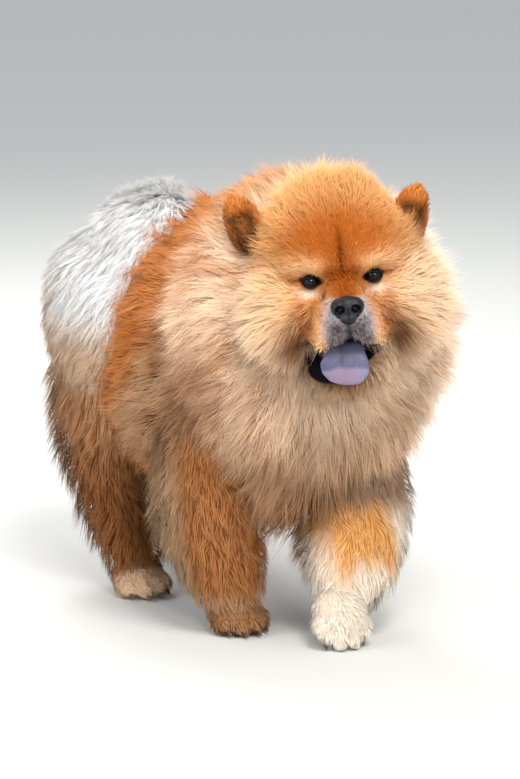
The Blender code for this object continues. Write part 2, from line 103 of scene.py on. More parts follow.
def mix(a, b, share):
    """From a to b by a share, which may be one for every point; a and b may be colours or values."""
    share = np.asarray(share)
    if share.ndim == 1 and 3 in np.shape(a)[-1:] + np.shape(b)[-1:]:
        share = share[:, None]
    return a + (b - a) * share


def turned(degrees):
    """A rotation about X, Y and Z, as a matrix."""
    return Euler([math.radians(a) for a in degrees]).to_matrix()


def in_local(place, points):
    """Points in the measures of a place, such as the head."""
    back = np.array(place.inverted())
    return points @ back[:3, :3].T + back[:3, 3]


def turned_out(place, vectors):
    return vectors @ np.array(place)[:3, :3].T


def out_of_local(place, points):
    return turned_out(place, points) + np.array(place)[:3, 3]


def catmull(a, b, c, d, t):
    return 0.5 * (2 * b + (c - a) * t + (2 * a - 5 * b + 4 * c - d) * t * t
                  + (3 * b - a - 3 * c + d) * t * t * t)


class Form:
    """A closed form through sections (centre, reach to the sides, up, down) along a path."""

    def __init__(self, sections, up=(0, 0, 1), power=2.2, taper=0.0):
        self.rows = np.array([[*s[0], s[1], s[2], s[3] if len(s) > 3 else s[2]] for s in sections])
        self.up = np.array(up, float)
        self.power = power
        self.taper = taper

    def at(self, place):
        last = len(self.rows) - 1
        first = np.minimum((place * last).astype(int), last - 1)
        t = (place * last - first)[:, None]
        near = [self.rows[np.clip(first + k, 0, last)] for k in (-1, 0, 1, 2)]
        now = catmull(*near, t)
        step = 0.02
        along = unit((catmull(*near, t + step) - catmull(*near, t - step))[:, :3])
        return now[:, :3], np.maximum(now[:, 3:], 0.0005), along

    def point(self, place, angle, grow=0.0):
        centre, sizes, along = self.at(place)
        side = unit(np.cross(along, self.up))
        top = np.cross(side, along)
        c, s = np.cos(angle), np.sin(angle)
        bend = 2 / self.power
        deep = np.where(s > 0, sizes[:, 1], sizes[:, 2])
        x = np.sign(c) * np.abs(c) ** bend * (sizes[:, 0] * (1 - self.taper * s) + grow)
        z = np.sign(s) * np.abs(s) ** bend * (deep + grow)
        return centre + side * x[:, None] + top * z[:, None]

    def grid(self, rings, sides, grow=0.0):
        place = np.repeat(np.linspace(0, 1, rings), sides)
        angle = np.tile(np.arange(sides) * 2 * math.pi / sides, rings)
        return place, angle, self.point(place, angle, grow)

    def mesh(self, grow=0.0, rings=40, sides=40):
        points = list(map(tuple, self.grid(rings, sides, grow)[2]))
        faces = []
        for r in range(rings - 1):
            for k in range(sides):
                a, b = r * sides + k, r * sides + (k + 1) % sides
                faces.append((a, b, b + sides, a + sides))
        for place, start, sign in ((0.0, 0, -1), (1.0, (rings - 1) * sides, 1)):
            centre, sizes, along = self.at(np.array([place]))
            points.append(tuple(centre[0] + along[0] * sign * (grow + 0.3 * sizes.min())))
            tip = len(points) - 1
            faces += [(tip, start + k, start + (k + 1) % sides) for k in range(sides)]
        return points, faces

    def lies(self, place, angle, fall):
        """The way the hair lies, along the form towards its end and falling by its weight."""
        step = 0.01
        run = unit(self.point(np.minimum(place + step, 1), angle)
                   - self.point(np.maximum(place - step, 0), angle))
        return unit(run * (1 - fall) + np.array((0, 0, -fall)))


# The cores of body, neck, tail and legs
TORSO = Form([
    ((0.012, -0.206, 0.270), 0.030, 0.030), ((0.010, -0.192, 0.265), 0.104, 0.094, 0.110),
    ((0.006, -0.140, 0.322), 0.143, 0.160, 0.196), ((0, -0.080, 0.350), 0.154, 0.188, 0.204),
    ((0, 0.040, 0.358), 0.148, 0.184, 0.184), ((0, 0.130, 0.370), 0.142, 0.168, 0.160),
    ((0, 0.190, 0.378), 0.120, 0.140, 0.130), ((0, 0.222, 0.382), 0.075, 0.090, 0.080),
    ((0, 0.235, 0.384), 0.015, 0.015),
])
RUFF = Form([
    ((0.002, -0.268, 0.446), 0.045, 0.045, 0.066), ((0.006, -0.259, 0.443), 0.102, 0.095, 0.122),
    ((0.010, -0.240, 0.438), 0.152, 0.142, 0.164), ((0.017, -0.210, 0.430), 0.179, 0.165, 0.174),
    ((0.017, -0.172, 0.422), 0.173, 0.165, 0.168), ((0.016, -0.142, 0.410), 0.142, 0.145, 0.146),
    ((0.012, -0.115, 0.400), 0.086, 0.092, 0.096), ((0.008, -0.105, 0.396), 0.020, 0.020),
], power=2.05, taper=0.07)
TAIL = Form([
    ((0.010, 0.215, 0.450), 0.020, 0.020), ((0.004, 0.214, 0.475), 0.034, 0.028),
    ((-0.012, 0.180, 0.502), 0.044, 0.026), ((-0.034, 0.130, 0.514), 0.052, 0.026),
    ((-0.052, 0.085, 0.510), 0.045, 0.025), ((-0.060, 0.060, 0.504), 0.012, 0.012),
], up=(-0.30, 0.30, 0.90))
PLUME = Form([
    ((-0.026, 0.080, 0.532), 0.030, 0.010), ((-0.054, 0.076, 0.514), 0.080, 0.030),
    ((-0.090, 0.074, 0.460), 0.104, 0.042), ((-0.116, 0.090, 0.404), 0.102, 0.044),
    ((-0.120, 0.124, 0.350), 0.080, 0.036), ((-0.112, 0.148, 0.318), 0.046, 0.022),
    ((-0.108, 0.154, 0.308), 0.010, 0.008),
], up=(-1, 0, 0))
LEGS = {
    "leg_front_right": Form([
        ((-0.100, -0.155, 0.330), 0.030, 0.035), ((-0.103, -0.158, 0.290), 0.054, 0.058, 0.080),
        ((-0.102, -0.162, 0.210), 0.056, 0.048, 0.098), ((-0.097, -0.165, 0.140), 0.056, 0.046, 0.102),
        ((-0.086, -0.167, 0.085), 0.048, 0.042, 0.085), ((-0.078, -0.168, 0.050), 0.038, 0.034, 0.060),
        ((-0.075, -0.168, 0.034), 0.018, 0.016, 0.026),
    ], up=(0, -1, 0)),
    "leg_front_left": Form([
        ((0.112, -0.140, 0.330), 0.030, 0.035), ((0.116, -0.162, 0.285), 0.058, 0.056, 0.066),
        ((0.104, -0.198, 0.215), 0.062, 0.054, 0.072), ((0.084, -0.236, 0.150), 0.070, 0.050, 0.074),
        ((0.050, -0.263, 0.098), 0.064, 0.046, 0.062), ((0.020, -0.282, 0.062), 0.042, 0.036, 0.042),
        ((0.004, -0.290, 0.048), 0.014, 0.016),
    ], up=(0, -1, 0)),
    "leg_hind_right": Form([
        ((-0.070, 0.105, 0.420), 0.030, 0.040), ((-0.080, 0.108, 0.360), 0.070, 0.085, 0.088),
        ((-0.092, 0.114, 0.280), 0.066, 0.085, 0.086), ((-0.092, 0.118, 0.205), 0.056, 0.064, 0.076),
        ((-0.088, 0.112, 0.130), 0.040, 0.042, 0.052), ((-0.086, 0.092, 0.078), 0.034, 0.036, 0.040),
        ((-0.085, 0.072, 0.045), 0.028, 0.030), ((-0.085, 0.066, 0.030), 0.012, 0.014),
    ], up=(0, -1, 0)),
    "leg_hind_left": Form([
        ((0.070, 0.120, 0.420), 0.030, 0.040), ((0.083, 0.130, 0.360), 0.070, 0.085, 0.088),
        ((0.096, 0.152, 0.280), 0.068, 0.082, 0.086), ((0.095, 0.185, 0.200), 0.056, 0.062, 0.070),
        ((0.092, 0.222, 0.130), 0.040, 0.042, 0.048), ((0.091, 0.228, 0.078), 0.034, 0.036, 0.038),
        ((0.090, 0.222, 0.045), 0.028, 0.030), ((0.090, 0.218, 0.030), 0.012, 0.014),
    ], up=(0, -1, 0)),
}


def paw_place(x, y, turn=0, tip=0, lift=0.0):
    return (Matrix.Translation((x, y, lift)) @ Matrix.Rotation(math.radians(turn), 4, "Z")
            @ Matrix.Rotation(math.radians(tip), 4, "X"))


PAWS = {
    "paw_front_right": paw_place(-0.075, -0.172, turn=-6),
    "paw_front_left": paw_place(-0.001, -0.298, turn=-8, tip=48, lift=0.0275),
    "paw_hind_right": paw_place(-0.085, 0.062, turn=-5),
    "paw_hind_left": paw_place(0.090, 0.215, turn=4),
}
TOES = ((-0.028, -0.012), (-0.010, -0.026), (0.010, -0.026), (0.028, -0.012))
TOE_SPREAD = 400        # degrees of turn for each metre off the paw's middle
PAW = [((0, 0.006, 0.022), (0.038, 0.040, 0.030), (0, 0, 0))] + [
    ((x, y, 0.016), (0.0145, 0.023, 0.0175), (0, 0, -x * TOE_SPREAD)) for x, y in TOES]
SIDES = ((-1, "right"), (1, "left"))


def mirrored(pairs):
    """Each ellipsoid (centre, radii, turn) and its mirror image."""
    out = []
    for centre, radii, turn in pairs:
        x, y, z = centre
        rx, ry, rz = turn
        out += [(centre, radii, turn), ((-x, y, z), radii, (rx, -ry, -rz))]
    return out


HEAD_MIDDLE = [
    ((0, 0.066, 0.030), (0.094, 0.094, 0.082), (0, 0, 0)),        # skull
    ((0, 0.016, 0.050), (0.062, 0.036, 0.046), (-20, 0, 0)),      # forehead
    ((0, -0.022, -0.024), (0.027, 0.046, 0.025), (16, 0, 0)),     # bridge
    ((0, -0.030, -0.044), (0.046, 0.044, 0.030), (0, 0, 0)),      # muzzle
    ((0, -0.062, -0.040), (0.027, 0.018, 0.024), (0, 0, 0)),      # seat of the nose
]
HEAD_SIDES = mirrored([
    ((0.036, 0.008, 0.028), (0.036, 0.026, 0.020), (0, 14, 0)),   # brow
    ((0.064, 0.046, -0.038), (0.052, 0.056, 0.062), (0, 0, 0)),   # cheek
    ((0.050, 0.012, -0.030), (0.032, 0.026, 0.028), (0, 0, 0)),   # under the eye
])
UPPER_LIPS = mirrored([((0.027, -0.036, -0.062), (0.031, 0.040, 0.024), (0, 14, 0))])
JAW = [
    ((0, -0.006, -0.106), (0.048, 0.050, 0.020), (10, 0, 0)),
    ((0, 0.034, -0.096), (0.058, 0.045, 0.032), (0, 0, 0)),
]
TONGUE = Form([
    ((0, 0.024, -0.0800), 0.014, 0.005), ((-0.001, -0.016, -0.0800), 0.020, 0.005),
    ((-0.004, -0.050, -0.0810), 0.021, 0.005), ((-0.007, -0.068, -0.0870), 0.0250, 0.005),
    ((-0.010, -0.076, -0.1010), 0.0312, 0.005), ((-0.0125, -0.077, -0.1140), 0.0280, 0.0045),
    ((-0.014, -0.076, -0.1225), 0.0190, 0.0036), ((-0.0145, -0.0757, -0.1255), 0.0080, 0.0020),
], up=(0, -0.6, 0.8), power=2.4)
EAR = Form([
    ((0, 0.004, -0.55 * EAR_HEIGHT), 0.42 * EAR_WIDTH, 0.018),
    ((0, 0.002, -0.30 * EAR_HEIGHT), 0.50 * EAR_WIDTH, 0.019),
    ((0, 0.000, 0.00 * EAR_HEIGHT), 0.49 * EAR_WIDTH, 0.017),
    ((0, -0.003, 0.28 * EAR_HEIGHT), 0.40 * EAR_WIDTH, 0.013),
    ((0, -0.006, 0.45 * EAR_HEIGHT), 0.24 * EAR_WIDTH, 0.009),
    ((0, -0.008, 0.52 * EAR_HEIGHT), 0.08 * EAR_WIDTH, 0.003),
], up=(0, 1, 0), power=2.0)
EAR_PLACE = {side: HEAD @ Matrix.Translation((EAR_SHIFT + side * EAR_REACH, EAR_BACK, EAR_LIFT[side]))
             @ turned((EAR_TILT, side * EAR_LEAN, side * EAR_TURN)).to_4x4() for side in (-1, 1)}


# Making objects
def linked(name, data):
    obj = bpy.data.objects.new(name, data)
    bpy.context.scene.collection.objects.link(obj)
    return obj


def object_from(name, points, faces):
    mesh = bpy.data.meshes.new(name)
    mesh.from_pydata([tuple(p) for p in points], [], faces)
    mesh.update()
    shape = bmesh.new()
    shape.from_mesh(mesh)
    bmesh.ops.recalc_face_normals(shape, faces=shape.faces)
    shape.to_mesh(mesh)
    shape.free()
    return linked(name, mesh)


def form_object(form, grow=0.0, place=None, rings=40, sides=40):
    obj = object_from("form", *form.mesh(grow, rings, sides))
    if place:
        obj.data.transform(place)
    return obj


def blob(centre, radii, turn=(0, 0, 0), grow=0.0, place=None, rings=24):
    """An ellipsoid, turned and placed."""
    shape = bmesh.new()
    bmesh.ops.create_uvsphere(shape, u_segments=rings + 8, v_segments=rings, radius=1)
    reach = Matrix.Diagonal([max(0.0015, r + grow) for r in radii]).to_4x4()
    where = (place or Matrix.Identity(4)) @ Matrix.Translation(centre) @ turned(turn).to_4x4() @ reach
    bmesh.ops.transform(shape, matrix=where, verts=shape.verts)
    mesh = bpy.data.meshes.new("blob")
    shape.to_mesh(mesh)
    shape.free()
    return linked("blob", mesh)


def apply_modifiers(obj):
    graph = bpy.context.evaluated_depsgraph_get()
    mesh = bpy.data.meshes.new_from_object(obj.evaluated_get(graph))
    obj.modifiers.clear()
    obj.data = mesh
    return obj


def boolean(obj, others, operation):
    group = bpy.data.collections.new("pieces")
    bpy.context.scene.collection.children.link(group)
    for other in others:
        bpy.context.scene.collection.objects.unlink(other)
        group.objects.link(other)
    step = obj.modifiers.new("boolean", "BOOLEAN")
    step.operation = operation
    step.operand_type = "COLLECTION"
    step.collection = group
    step.solver = "MANIFOLD"
    apply_modifiers(obj)
    for other in others:
        bpy.data.objects.remove(other)
    bpy.data.collections.remove(group)
    return obj


def gathered(objects):
    """One object that holds the meshes of all of these, still overlapping."""
    points, faces = [], []
    for obj in objects:
        start = len(points)
        points += [tuple(v.co) for v in obj.data.vertices]
        faces += [[start + k for k in p.vertices] for p in obj.data.polygons]
        bpy.data.objects.remove(obj)
    mesh = bpy.data.meshes.new("gathered")
    mesh.from_pydata(points, [], faces)
    return linked("gathered", mesh)


def melt(obj, voxel, rounds):
    """Melts overlapping closed forms into one closed skin and smooths it."""
    remesh = obj.modifiers.new("remesh", "REMESH")
    remesh.mode = "VOXEL"
    remesh.voxel_size = voxel
    soft = obj.modifiers.new("smooth", "SMOOTH")
    soft.iterations = rounds
    return apply_modifiers(obj)


def read(mesh, what, count, width, kind=np.float32):
    out = np.empty(count * width, kind)
    getattr(mesh, what[0]).foreach_get(what[1], out)
    return out.reshape(-1, width) if width > 1 else out


# The skin, and how far it lies out from the forms above; below 0 it lies inside them
FACE_DEPTH = -0.004
CORE_DEPTH = -0.005
LEG_DEPTH = -0.004
PAW_DEPTH = -0.004
EAR_DEPTH = -0.0035
TAIL_SKIN = 0.005
FLOOR_GAP = 0.0008      # the lowest that a point of the skin or of a claw lies
EYE_BACK = 0.001
SOCKET_BACK = -0.002
SOCKET_ROOM = 0.001
CHEST = ((0.004, -0.196, 0.285), (0.105, 0.046, 0.105), (12, 0, 0))
EAR_CUP = ((0, -0.022, -0.006), (0.018, 0.019, 0.027))
MOUTH = ((0.002, -0.044, -0.093), (0.064, 0.062, 0.0115))
LIP_SPLIT = ((0.003, -0.074, -0.086), (0.0125, 0.030, 0.0190))
NOSE_SEAT = [((0, -0.064, -0.036), (0.026, 0.0215, 0.024), (0, 0, 0))]
SKIN_LIPS = mirrored([((0.025, -0.033, -0.061), (0.033, 0.036, 0.0235), (0, 0, 28))])
FLEWS = mirrored([((0.027, -0.044, -0.075), (0.0225, 0.026, 0.0195), (0, -4, 24))])
LOWER_LIP = (-0.008, -0.094, 0.056, 0.040)    # the bare lower lip: its middle, and its reach aside and down
SKIN_JAW = [
    ((-0.008, -0.002, -0.115), (0.047, 0.040, 0.023), (8, 0, 0)),
    ((0, 0.034, -0.100), (0.058, 0.045, 0.034), (0, 0, 0)),
]


def eye_place(side, back=0.0):
    return side * EYE_SPACING / 2, back, 0


def face_object():
    """The head's skin with its sockets and its open mouth."""
    shapes = HEAD_MIDDLE + HEAD_SIDES + SKIN_LIPS + FLEWS + NOSE_SEAT
    shapes = [blob(*shape, grow=FACE_DEPTH, place=HEAD) for shape in shapes]
    face = boolean(shapes[0], shapes[1:], "UNION")
    hollows = [blob(*MOUTH, place=HEAD), blob(*LIP_SPLIT, place=HEAD)]
    for side in (-1, 1):
        hollows.append(blob(eye_place(side, SOCKET_BACK), [EYE_RADIUS + SOCKET_ROOM] * 3, place=HEAD))
    return boolean(face, hollows, "DIFFERENCE")


def ear_object(side):
    ear = form_object(EAR, EAR_DEPTH, EAR_PLACE[side], rings=20, sides=24)
    return boolean(ear, [blob(*EAR_CUP, place=EAR_PLACE[side])], "DIFFERENCE")


def skin_object():
    """The whole skin as one mesh, melted together from head, jaw, ears, body, legs and paws."""
    parts = [face_object()]
    parts += [blob(*shape, place=HEAD) for shape in SKIN_JAW]
    parts += [ear_object(side) for side in (-1, 1)]
    parts.append(form_object(RUFF, CORE_DEPTH))
    parts.append(form_object(TORSO, CORE_DEPTH))
    parts.append(blob(*CHEST))
    parts.append(form_object(TAIL, TAIL_SKIN))
    parts.append(form_object(PLUME, TAIL_SKIN))
    parts += [form_object(form, LEG_DEPTH) for form in LEGS.values()]
    for place in PAWS.values():
        parts += [blob(*shape, grow=PAW_DEPTH, place=place) for shape in PAW]
    skin = melt(gathered(parts), voxel=0.0034, rounds=3)
    skin.name = "skin"
    points = read(skin.data, ("vertices", "co"), len(skin.data.vertices), 3).astype(float)
    points = folded(points, read(skin.data, ("vertex_normals", "vector"), len(points), 3))
    points[:, 2] = np.maximum(points[:, 2], FLOOR_GAP)
    set_points(skin, points)
    return skin


def folded(points, normals):
    """Presses the furrow, the creases beside the eyes and the lip's split in, and raises the brows."""
    x, y, z = in_local(HEAD, points).T
    aside = np.abs(x)
    brows = spot(aside, z, 0.026, 0.021, 0.016, 0.010)
    furrow = bell(x, 0.0045) * band(z, 0.004, 0.022, 0.040, 0.072)
    creases = bell(z + 0.002 - (aside - 0.055) * 0.15, 0.005) * band(aside, 0.050, 0.058, 0.072, 0.088)
    split = bell(x, 0.0035) * fade(-0.052, -0.046, z) * fade(-0.050, -0.040, y)
    rise = brows * 0.0035 - furrow * 0.0036 - creases * 0.0035 - split * 0.004
    return points + normals * (rise * fade(0.02, 0.07, y))[:, None]


def unwrap(obj):
    layer = obj.data.uv_layers.new(name="OFBake")
    obj.data.uv_layers.active = layer
    bpy.ops.object.select_all(action="DESELECT")
    obj.select_set(True)
    bpy.context.view_layer.objects.active = obj
    bpy.ops.object.mode_set(mode="EDIT")
    bpy.ops.mesh.select_all(action="SELECT")
    bpy.ops.uv.smart_project(angle_limit=math.radians(70), island_margin=0.002)
    bpy.ops.object.mode_set(mode="OBJECT")


class Skin:
    """The skin's points, triangles and unwrap as arrays, in the dog's own measures."""

    def __init__(self, obj):
        mesh = obj.data
        mesh.calc_loop_triangles()
        self.points = read(mesh, ("vertices", "co"), len(mesh.vertices), 3).astype(float)
        self.normals = read(mesh, ("vertex_normals", "vector"), len(mesh.vertices), 3).astype(float)
        count = len(mesh.loop_triangles)
        self.tris = read(mesh, ("loop_triangles", "vertices"), count, 3, np.int32)
        loops = read(mesh, ("loop_triangles", "loops"), count, 3, np.int32)
        uv = read(mesh.uv_layers["OFBake"], ("uv", "vector"), len(mesh.loops), 2)
        self.uv = uv[loops]
        self.edges = read(mesh, ("edges", "vertices"), len(mesh.edges), 2, np.int32)
        a, b, c = (self.points[self.tris[:, k]] for k in range(3))
        self.area = np.linalg.norm(np.cross(b - a, c - a), axis=1) / 2

    def soften(self, values, rounds):
        """Averages a value of each point with its neighbours, so many times."""
        values = np.array(values, float)
        flat = values.reshape(len(values), -1)
        a, b = self.edges.T
        size = len(flat)
        near = np.bincount(a, minlength=size) + np.bincount(b, minlength=size) + 1.0
        for _ in range(rounds):
            for k in range(flat.shape[1]):
                col = flat[:, k]
                total = col + np.bincount(a, col[b], size) + np.bincount(b, col[a], size)
                flat[:, k] = total / near
        return flat.reshape(values.shape)

REGIONS = ["torso", "ruff", "tail", "plume", "leg_front_right", "leg_front_left", "leg_hind_right",
           "leg_hind_left", "head", "jaw", "ear_right", "ear_left", "paw_front_right", "paw_front_left",
           "paw_hind_right", "paw_hind_left"]


def share_of(weights, name):
    return weights[:, REGIONS.index(name)]


def blob_cloud(centre, radii, turn, place):
    """Points over an ellipsoid, but for its two poles."""
    lat, lon = np.meshgrid(np.linspace(0.15, math.pi - 0.15, 12), np.arange(16) * math.pi / 8)
    ball = np.stack([np.sin(lat) * np.cos(lon), np.sin(lat) * np.sin(lon), np.cos(lat)], -1).reshape(-1, 3)
    local = (ball * np.array(radii)) @ np.array(turned(turn)).T + np.array(centre)
    return out_of_local(place, local)


# How much the hair's weight pulls it down on each part
FALLS = {"torso": 0.28, "ruff": 0.16, "tail": 0.05, "plume": 0.12}
LEG_FALL = 0.15
HEAD_FALL = 0.22


def samples():
    """Points over every form, with their region and, where the form gives it, the way the hair lies."""
    points, lies, names = [], [], []

    def add(name, at, lie=None):
        points.append(at)
        lies.append(np.zeros_like(at) if lie is None else lie)
        names.append(np.full(len(at), REGIONS.index(name)))

    trunk = (("torso", TORSO, CORE_DEPTH), ("ruff", RUFF, CORE_DEPTH),
             ("tail", TAIL, 0), ("plume", PLUME, 0))
    for name, form, depth in trunk:
        place, angle, at = form.grid(rings=60, sides=72, grow=depth)
        add(name, at, form.lies(place, angle, FALLS[name]))
    for name, form in LEGS.items():
        place, angle, at = form.grid(rings=50, sides=40, grow=LEG_DEPTH)
        add(name, at, form.lies(place, angle, LEG_FALL))
    for centre, radii, turn in HEAD_MIDDLE + HEAD_SIDES + UPPER_LIPS:
        add("head", blob_cloud(centre, [r + FACE_DEPTH for r in radii], turn, HEAD))
    for shape in JAW:
        add("jaw", blob_cloud(*shape, HEAD))
    for side, word in SIDES:
        at = EAR.grid(rings=16, sides=24, grow=EAR_DEPTH)[2]
        add("ear_" + word, out_of_local(EAR_PLACE[side], at))
    for name, place in PAWS.items():
        for centre, radii, turn in PAW:
            add(name, blob_cloud(centre, [r + PAW_DEPTH for r in radii], turn, place))
    return np.concatenate(points), np.concatenate(lies), np.concatenate(names)


def tree_of(points, keys):
    """A search tree over the points that these keys name."""
    tree = KDTree(len(keys))
    for k in keys:
        tree.insert(points[k], int(k))
    tree.balance()
    return tree


def head_lie(head):
    """On the head the hair lies away from the nose and, close to an eye, away from the eye."""
    away = head - np.array(NOSE) + np.array((0, -0.030, 0.004))
    away[:, 2] *= 0.9
    away = unit(away)
    for side in (-1, 1):
        from_eye = head - np.array(eye_place(side))
        close = np.exp(-(np.hypot(from_eye[:, 0], from_eye[:, 2]) / 0.021) ** 4)
        away = mix(away, unit(from_eye), close * (head[:, 1] < 0.03))
    return unit(turned_out(HEAD, away)) + np.array((0, 0, -HEAD_FALL))


def field(skin):
    """Which region each point of the skin belongs to, and which way the hair lies there."""
    points, lies, names = samples()
    tree = tree_of(points, range(len(points)))
    near = np.array([tree.find(p)[1] for p in skin.points])
    region = names[near]
    lie = lies[near]
    head = in_local(HEAD, skin.points)
    on_head = (region == REGIONS.index("head")) | (region == REGIONS.index("jaw"))
    lie[on_head] = head_lie(head)[on_head]
    for side, word in SIDES:
        at = region == REGIONS.index("ear_" + word)
        local = in_local(EAR_PLACE[side], skin.points[at])
        up = np.stack([local[:, 0] * 6, 0 * local[:, 0], np.full(len(local), 0.7)], -1)
        lie[at] = turned_out(EAR_PLACE[side], unit(up))
    for name, place in PAWS.items():
        at = region == REGIONS.index(name)
        local = in_local(place, skin.points[at])
        down = np.stack([local[:, 0] * 9, np.full(len(local), -0.9), np.full(len(local), -0.45)], -1)
        lie[at] = turned_out(place, unit(down))

    weights = skin.soften(np.eye(len(REGIONS))[region], 9)
    lie = skin.soften(lie, 12)
    swirl = skin.soften(np.random.default_rng(SEED).normal(0, 1, lie.shape), 36)
    calm = np.clip(share_of(weights, "head") * (head[:, 1] < 0.04), 0, 1)
    lie = lie + swirl / swirl.std() * (0.20 - 0.13 * calm)[:, None]
    lie -= skin.normals * (lie * skin.normals).sum(1, keepdims=True)
    return region, weights, unit(lie)


# Colours of hair and skin
RUST = linear(154, 68, 16)
ORANGE = linear(218, 132, 60)
GOLD = linear(238, 178, 106)
CROWN = linear(238, 192, 150)
PEACH = linear(247, 206, 166)
CREAM = linear(253, 228, 202)
PALE = linear(254, 241, 228)
WHITE = linear(250, 248, 246)
TAN = linear(204, 168, 132)
BROWN = linear(158, 108, 68)
DEEP = linear(148, 92, 50)
DARK = linear(90, 50, 26)
BLACK = linear(20, 18, 22)
AMBER_TIP, AMBER_ROOT = linear(250, 194, 126), linear(232, 160, 90)
SILVER_TIP, SILVER_ROOT = linear(230, 227, 231), linear(196, 192, 198)
ASH_TIP, ASH_ROOT = linear(158, 153, 156), linear(88, 84, 90)
REAR_TIP, REAR_ROOT = mix(mix(ORANGE, TAN, 0.25), BROWN, 0.25), mix(ORANGE, RUST, 0.5)

MUZZLE_HEIGHTS = (-0.078, -0.056, -0.041, -0.026, -0.012, -0.004)    # of the grey muzzle's outline
MUZZLE_HALVES = (0.036, 0.039, 0.034, 0.029, 0.022, 0.012)


def marked(coat, marks):
    """A coat's tip and root colours under marks: each a mask, a tip and its share, a root and its share."""
    tips, roots = coat
    for mask, tip, tip_share, root, root_share in marks:
        tips = mix(tips, tip, np.clip(mask * tip_share, 0, 1))
        roots = mix(roots, root, np.clip(mask * root_share, 0, 1))
    return tips, roots


def mane_colours(x, z):
    """Cream above, tan low on the chest, warm on the crown; painted shade turns the lowest band brown and
    the lower right side dark brown.
    """
    low = fade(0.24, 0.40, z)
    left = smooth(0.03, 0.16, x) * 0.6
    tips = mix(mix(mix(CREAM, PEACH, 0.35), PALE, left), mix(CREAM, TAN, 0.50), low)
    roots = mix(mix(mix(PEACH, ORANGE, 0.40), mix(PEACH, GOLD, 0.3), left), mix(TAN, ORANGE, 0.35), low)
    return marked((tips, roots), (
        # Painted shade: the lowest band is painted brown.
        (fade(0.25, 0.35, z), mix(TAN, BROWN, 0.65), 0.85, mix(BROWN, DARK, 0.6), 0.85),
        # Painted shade: the lower right side is painted dark brown.
        (fade(-0.15, -0.08, x) * fade(0.36, 0.47, z), mix(BROWN, DEEP, 0.2), 0.85, DARK, 0.85),
        (smooth(0.50, 0.60, z), CROWN, 0.85, mix(ORANGE, GOLD, 0.6), 0.8),
    ))


def rear_share(y, z):
    """The rear is orange behind a slanting line from the back to the thigh."""
    return smooth(-0.060, 0.025, (z - 0.44) + 1.06 * (y + 0.130)) * smooth(-0.20, -0.15, y)


def body_colours(x, y, z, mane):
    """The coats of torso, tail, legs and paws, with painted shade on the torso behind the shoulder and under
    the belly.
    """
    # Painted shade under the chest and the belly.
    belly_shade = np.maximum(fade(0.18, 0.28, z) * smooth(-0.17, -0.11, y), fade(0.17, 0.22, z))
    torso = marked(mane, (
        # Painted shade: the torso behind the shoulder is painted tan and brown.
        (smooth(-0.20, -0.11, y), TAN, 0.65, BROWN, 0.65),
        (rear_share(y, z), REAR_TIP, 1, REAR_ROOT, 1),
        (belly_shade, DEEP, 1, DARK, 0.9),
    ))
    worn = np.maximum(fade(0.36, 0.45, z), smooth(0.10, 0.17, y) * fade(0.41, 0.50, z))
    tail = marked((WHITE, WHITE), ((worn, mix(TAN, BROWN, 0.10), 0.9, mix(TAN, BROWN, 0.5), 0.95),))
    shoulder = smooth(0.20, 0.28, z)
    brown = fade(-0.18, -0.14, y) * band(z, 0.045, 0.075, 0.24, 0.32)
    right = marked((mix(TAN, BROWN, 0.2), mix(TAN, BROWN, 0.4)), (
        (shoulder, mane[0], 0.6, mane[1], 0.6),
        (brown, mix(BROWN, ORANGE, 0.40), 0.85, DEEP, 0.95),
    ))
    ragged = z + 0.008 * np.sin(70 * x + 1.3) + 0.005 * np.sin(160 * x)
    patch = smooth(0.085, 0.118, ragged) * fade(0.165, 0.195, z) * fade(-0.21, -0.17, y)
    patch = patch * fade(0.080, 0.106, x + 0.25 * (z - 0.16)) * smooth(-0.010, 0.018, x)
    left = marked((PALE, CREAM), (
        (shoulder, mane[0], 1, mane[1], 1),
        (smooth(0.150, 0.185, z), mix(BROWN, TAN, 0.3), 0.8, BROWN * 0.8, 0.8),
        (patch, AMBER_TIP, 1, AMBER_ROOT, 1),
    ))
    hind = marked((mix(DEEP, BROWN, 0.6), mix(DARK, DEEP, 0.4)), (
        (smooth(0.14, 0.33, z), mix(BROWN, TAN, 0.65), 1, mix(ORANGE, BROWN, 0.6), 1),))
    hind_paw = (mix(PEACH, CREAM, 0.3), mix(TAN, PEACH, 0.4))
    return {
        "torso": torso, "tail": tail, "plume": tail, "leg_front_right": right, "leg_front_left": left,
        "leg_hind_right": hind, "leg_hind_left": hind, "paw_front_left": (PALE, CREAM),
        "paw_front_right": (mix(TAN, BROWN, 0.5), mix(BROWN, DEEP, 0.3)),
        "paw_hind_right": hind_paw, "paw_hind_left": hind_paw,
    }


def from_middle(x, z):
    """How far a point of the face lies from the middle between the eyes."""
    return np.hypot(x, (z - 0.006) * 0.95)


def mouth_shade_share(x, y, z):
    """Painted shade beside each corner of the mouth."""
    return spot(np.abs(x), z, 0.064, -0.070, 0.013, 0.021) * fade(0.04, 0.07, y)


def face_colours(x, y, z, mane):
    """The face without its marks: orange at its middle, fading to gold and then to the mane, with painted
    shade beside the corners of the mouth.
    """
    far = from_middle(x, z)
    above = smooth(-0.01, 0.05, z)
    middle = (mix(mix(ORANGE, GOLD, 0.55), mix(ORANGE, RUST, 0.60), above),
              mix(mix(ORANGE, GOLD, 0.15), mix(RUST, ORANGE, 0.45), above))
    golden = mix(smooth(0.044, 0.078, far), smooth(0.058, 0.108, far), above)
    gold_tip = mix(mix(GOLD, CREAM, 0.62), mix(GOLD, PEACH, 0.3), above)
    pale = mix(smooth(0.082, 0.125, far), smooth(0.092, 0.128, far), above)
    pale = np.maximum(pale, smooth(0.03, 0.11, y))
    pale = np.maximum(pale, spot(x, z, 0.100, -0.030, 0.045, 0.050) * 0.8)
    return marked(middle, (
        (golden, gold_tip, 1, mix(GOLD, ORANGE, 0.30), 1),
        (pale, mane[0], 1, mane[1], 1),
        # Painted shade beside the corners of the mouth.
        (mouth_shade_share(x, y, z), mix(BROWN, DARK, 0.4), 0.9, DARK * 0.6, 0.95),
    ))


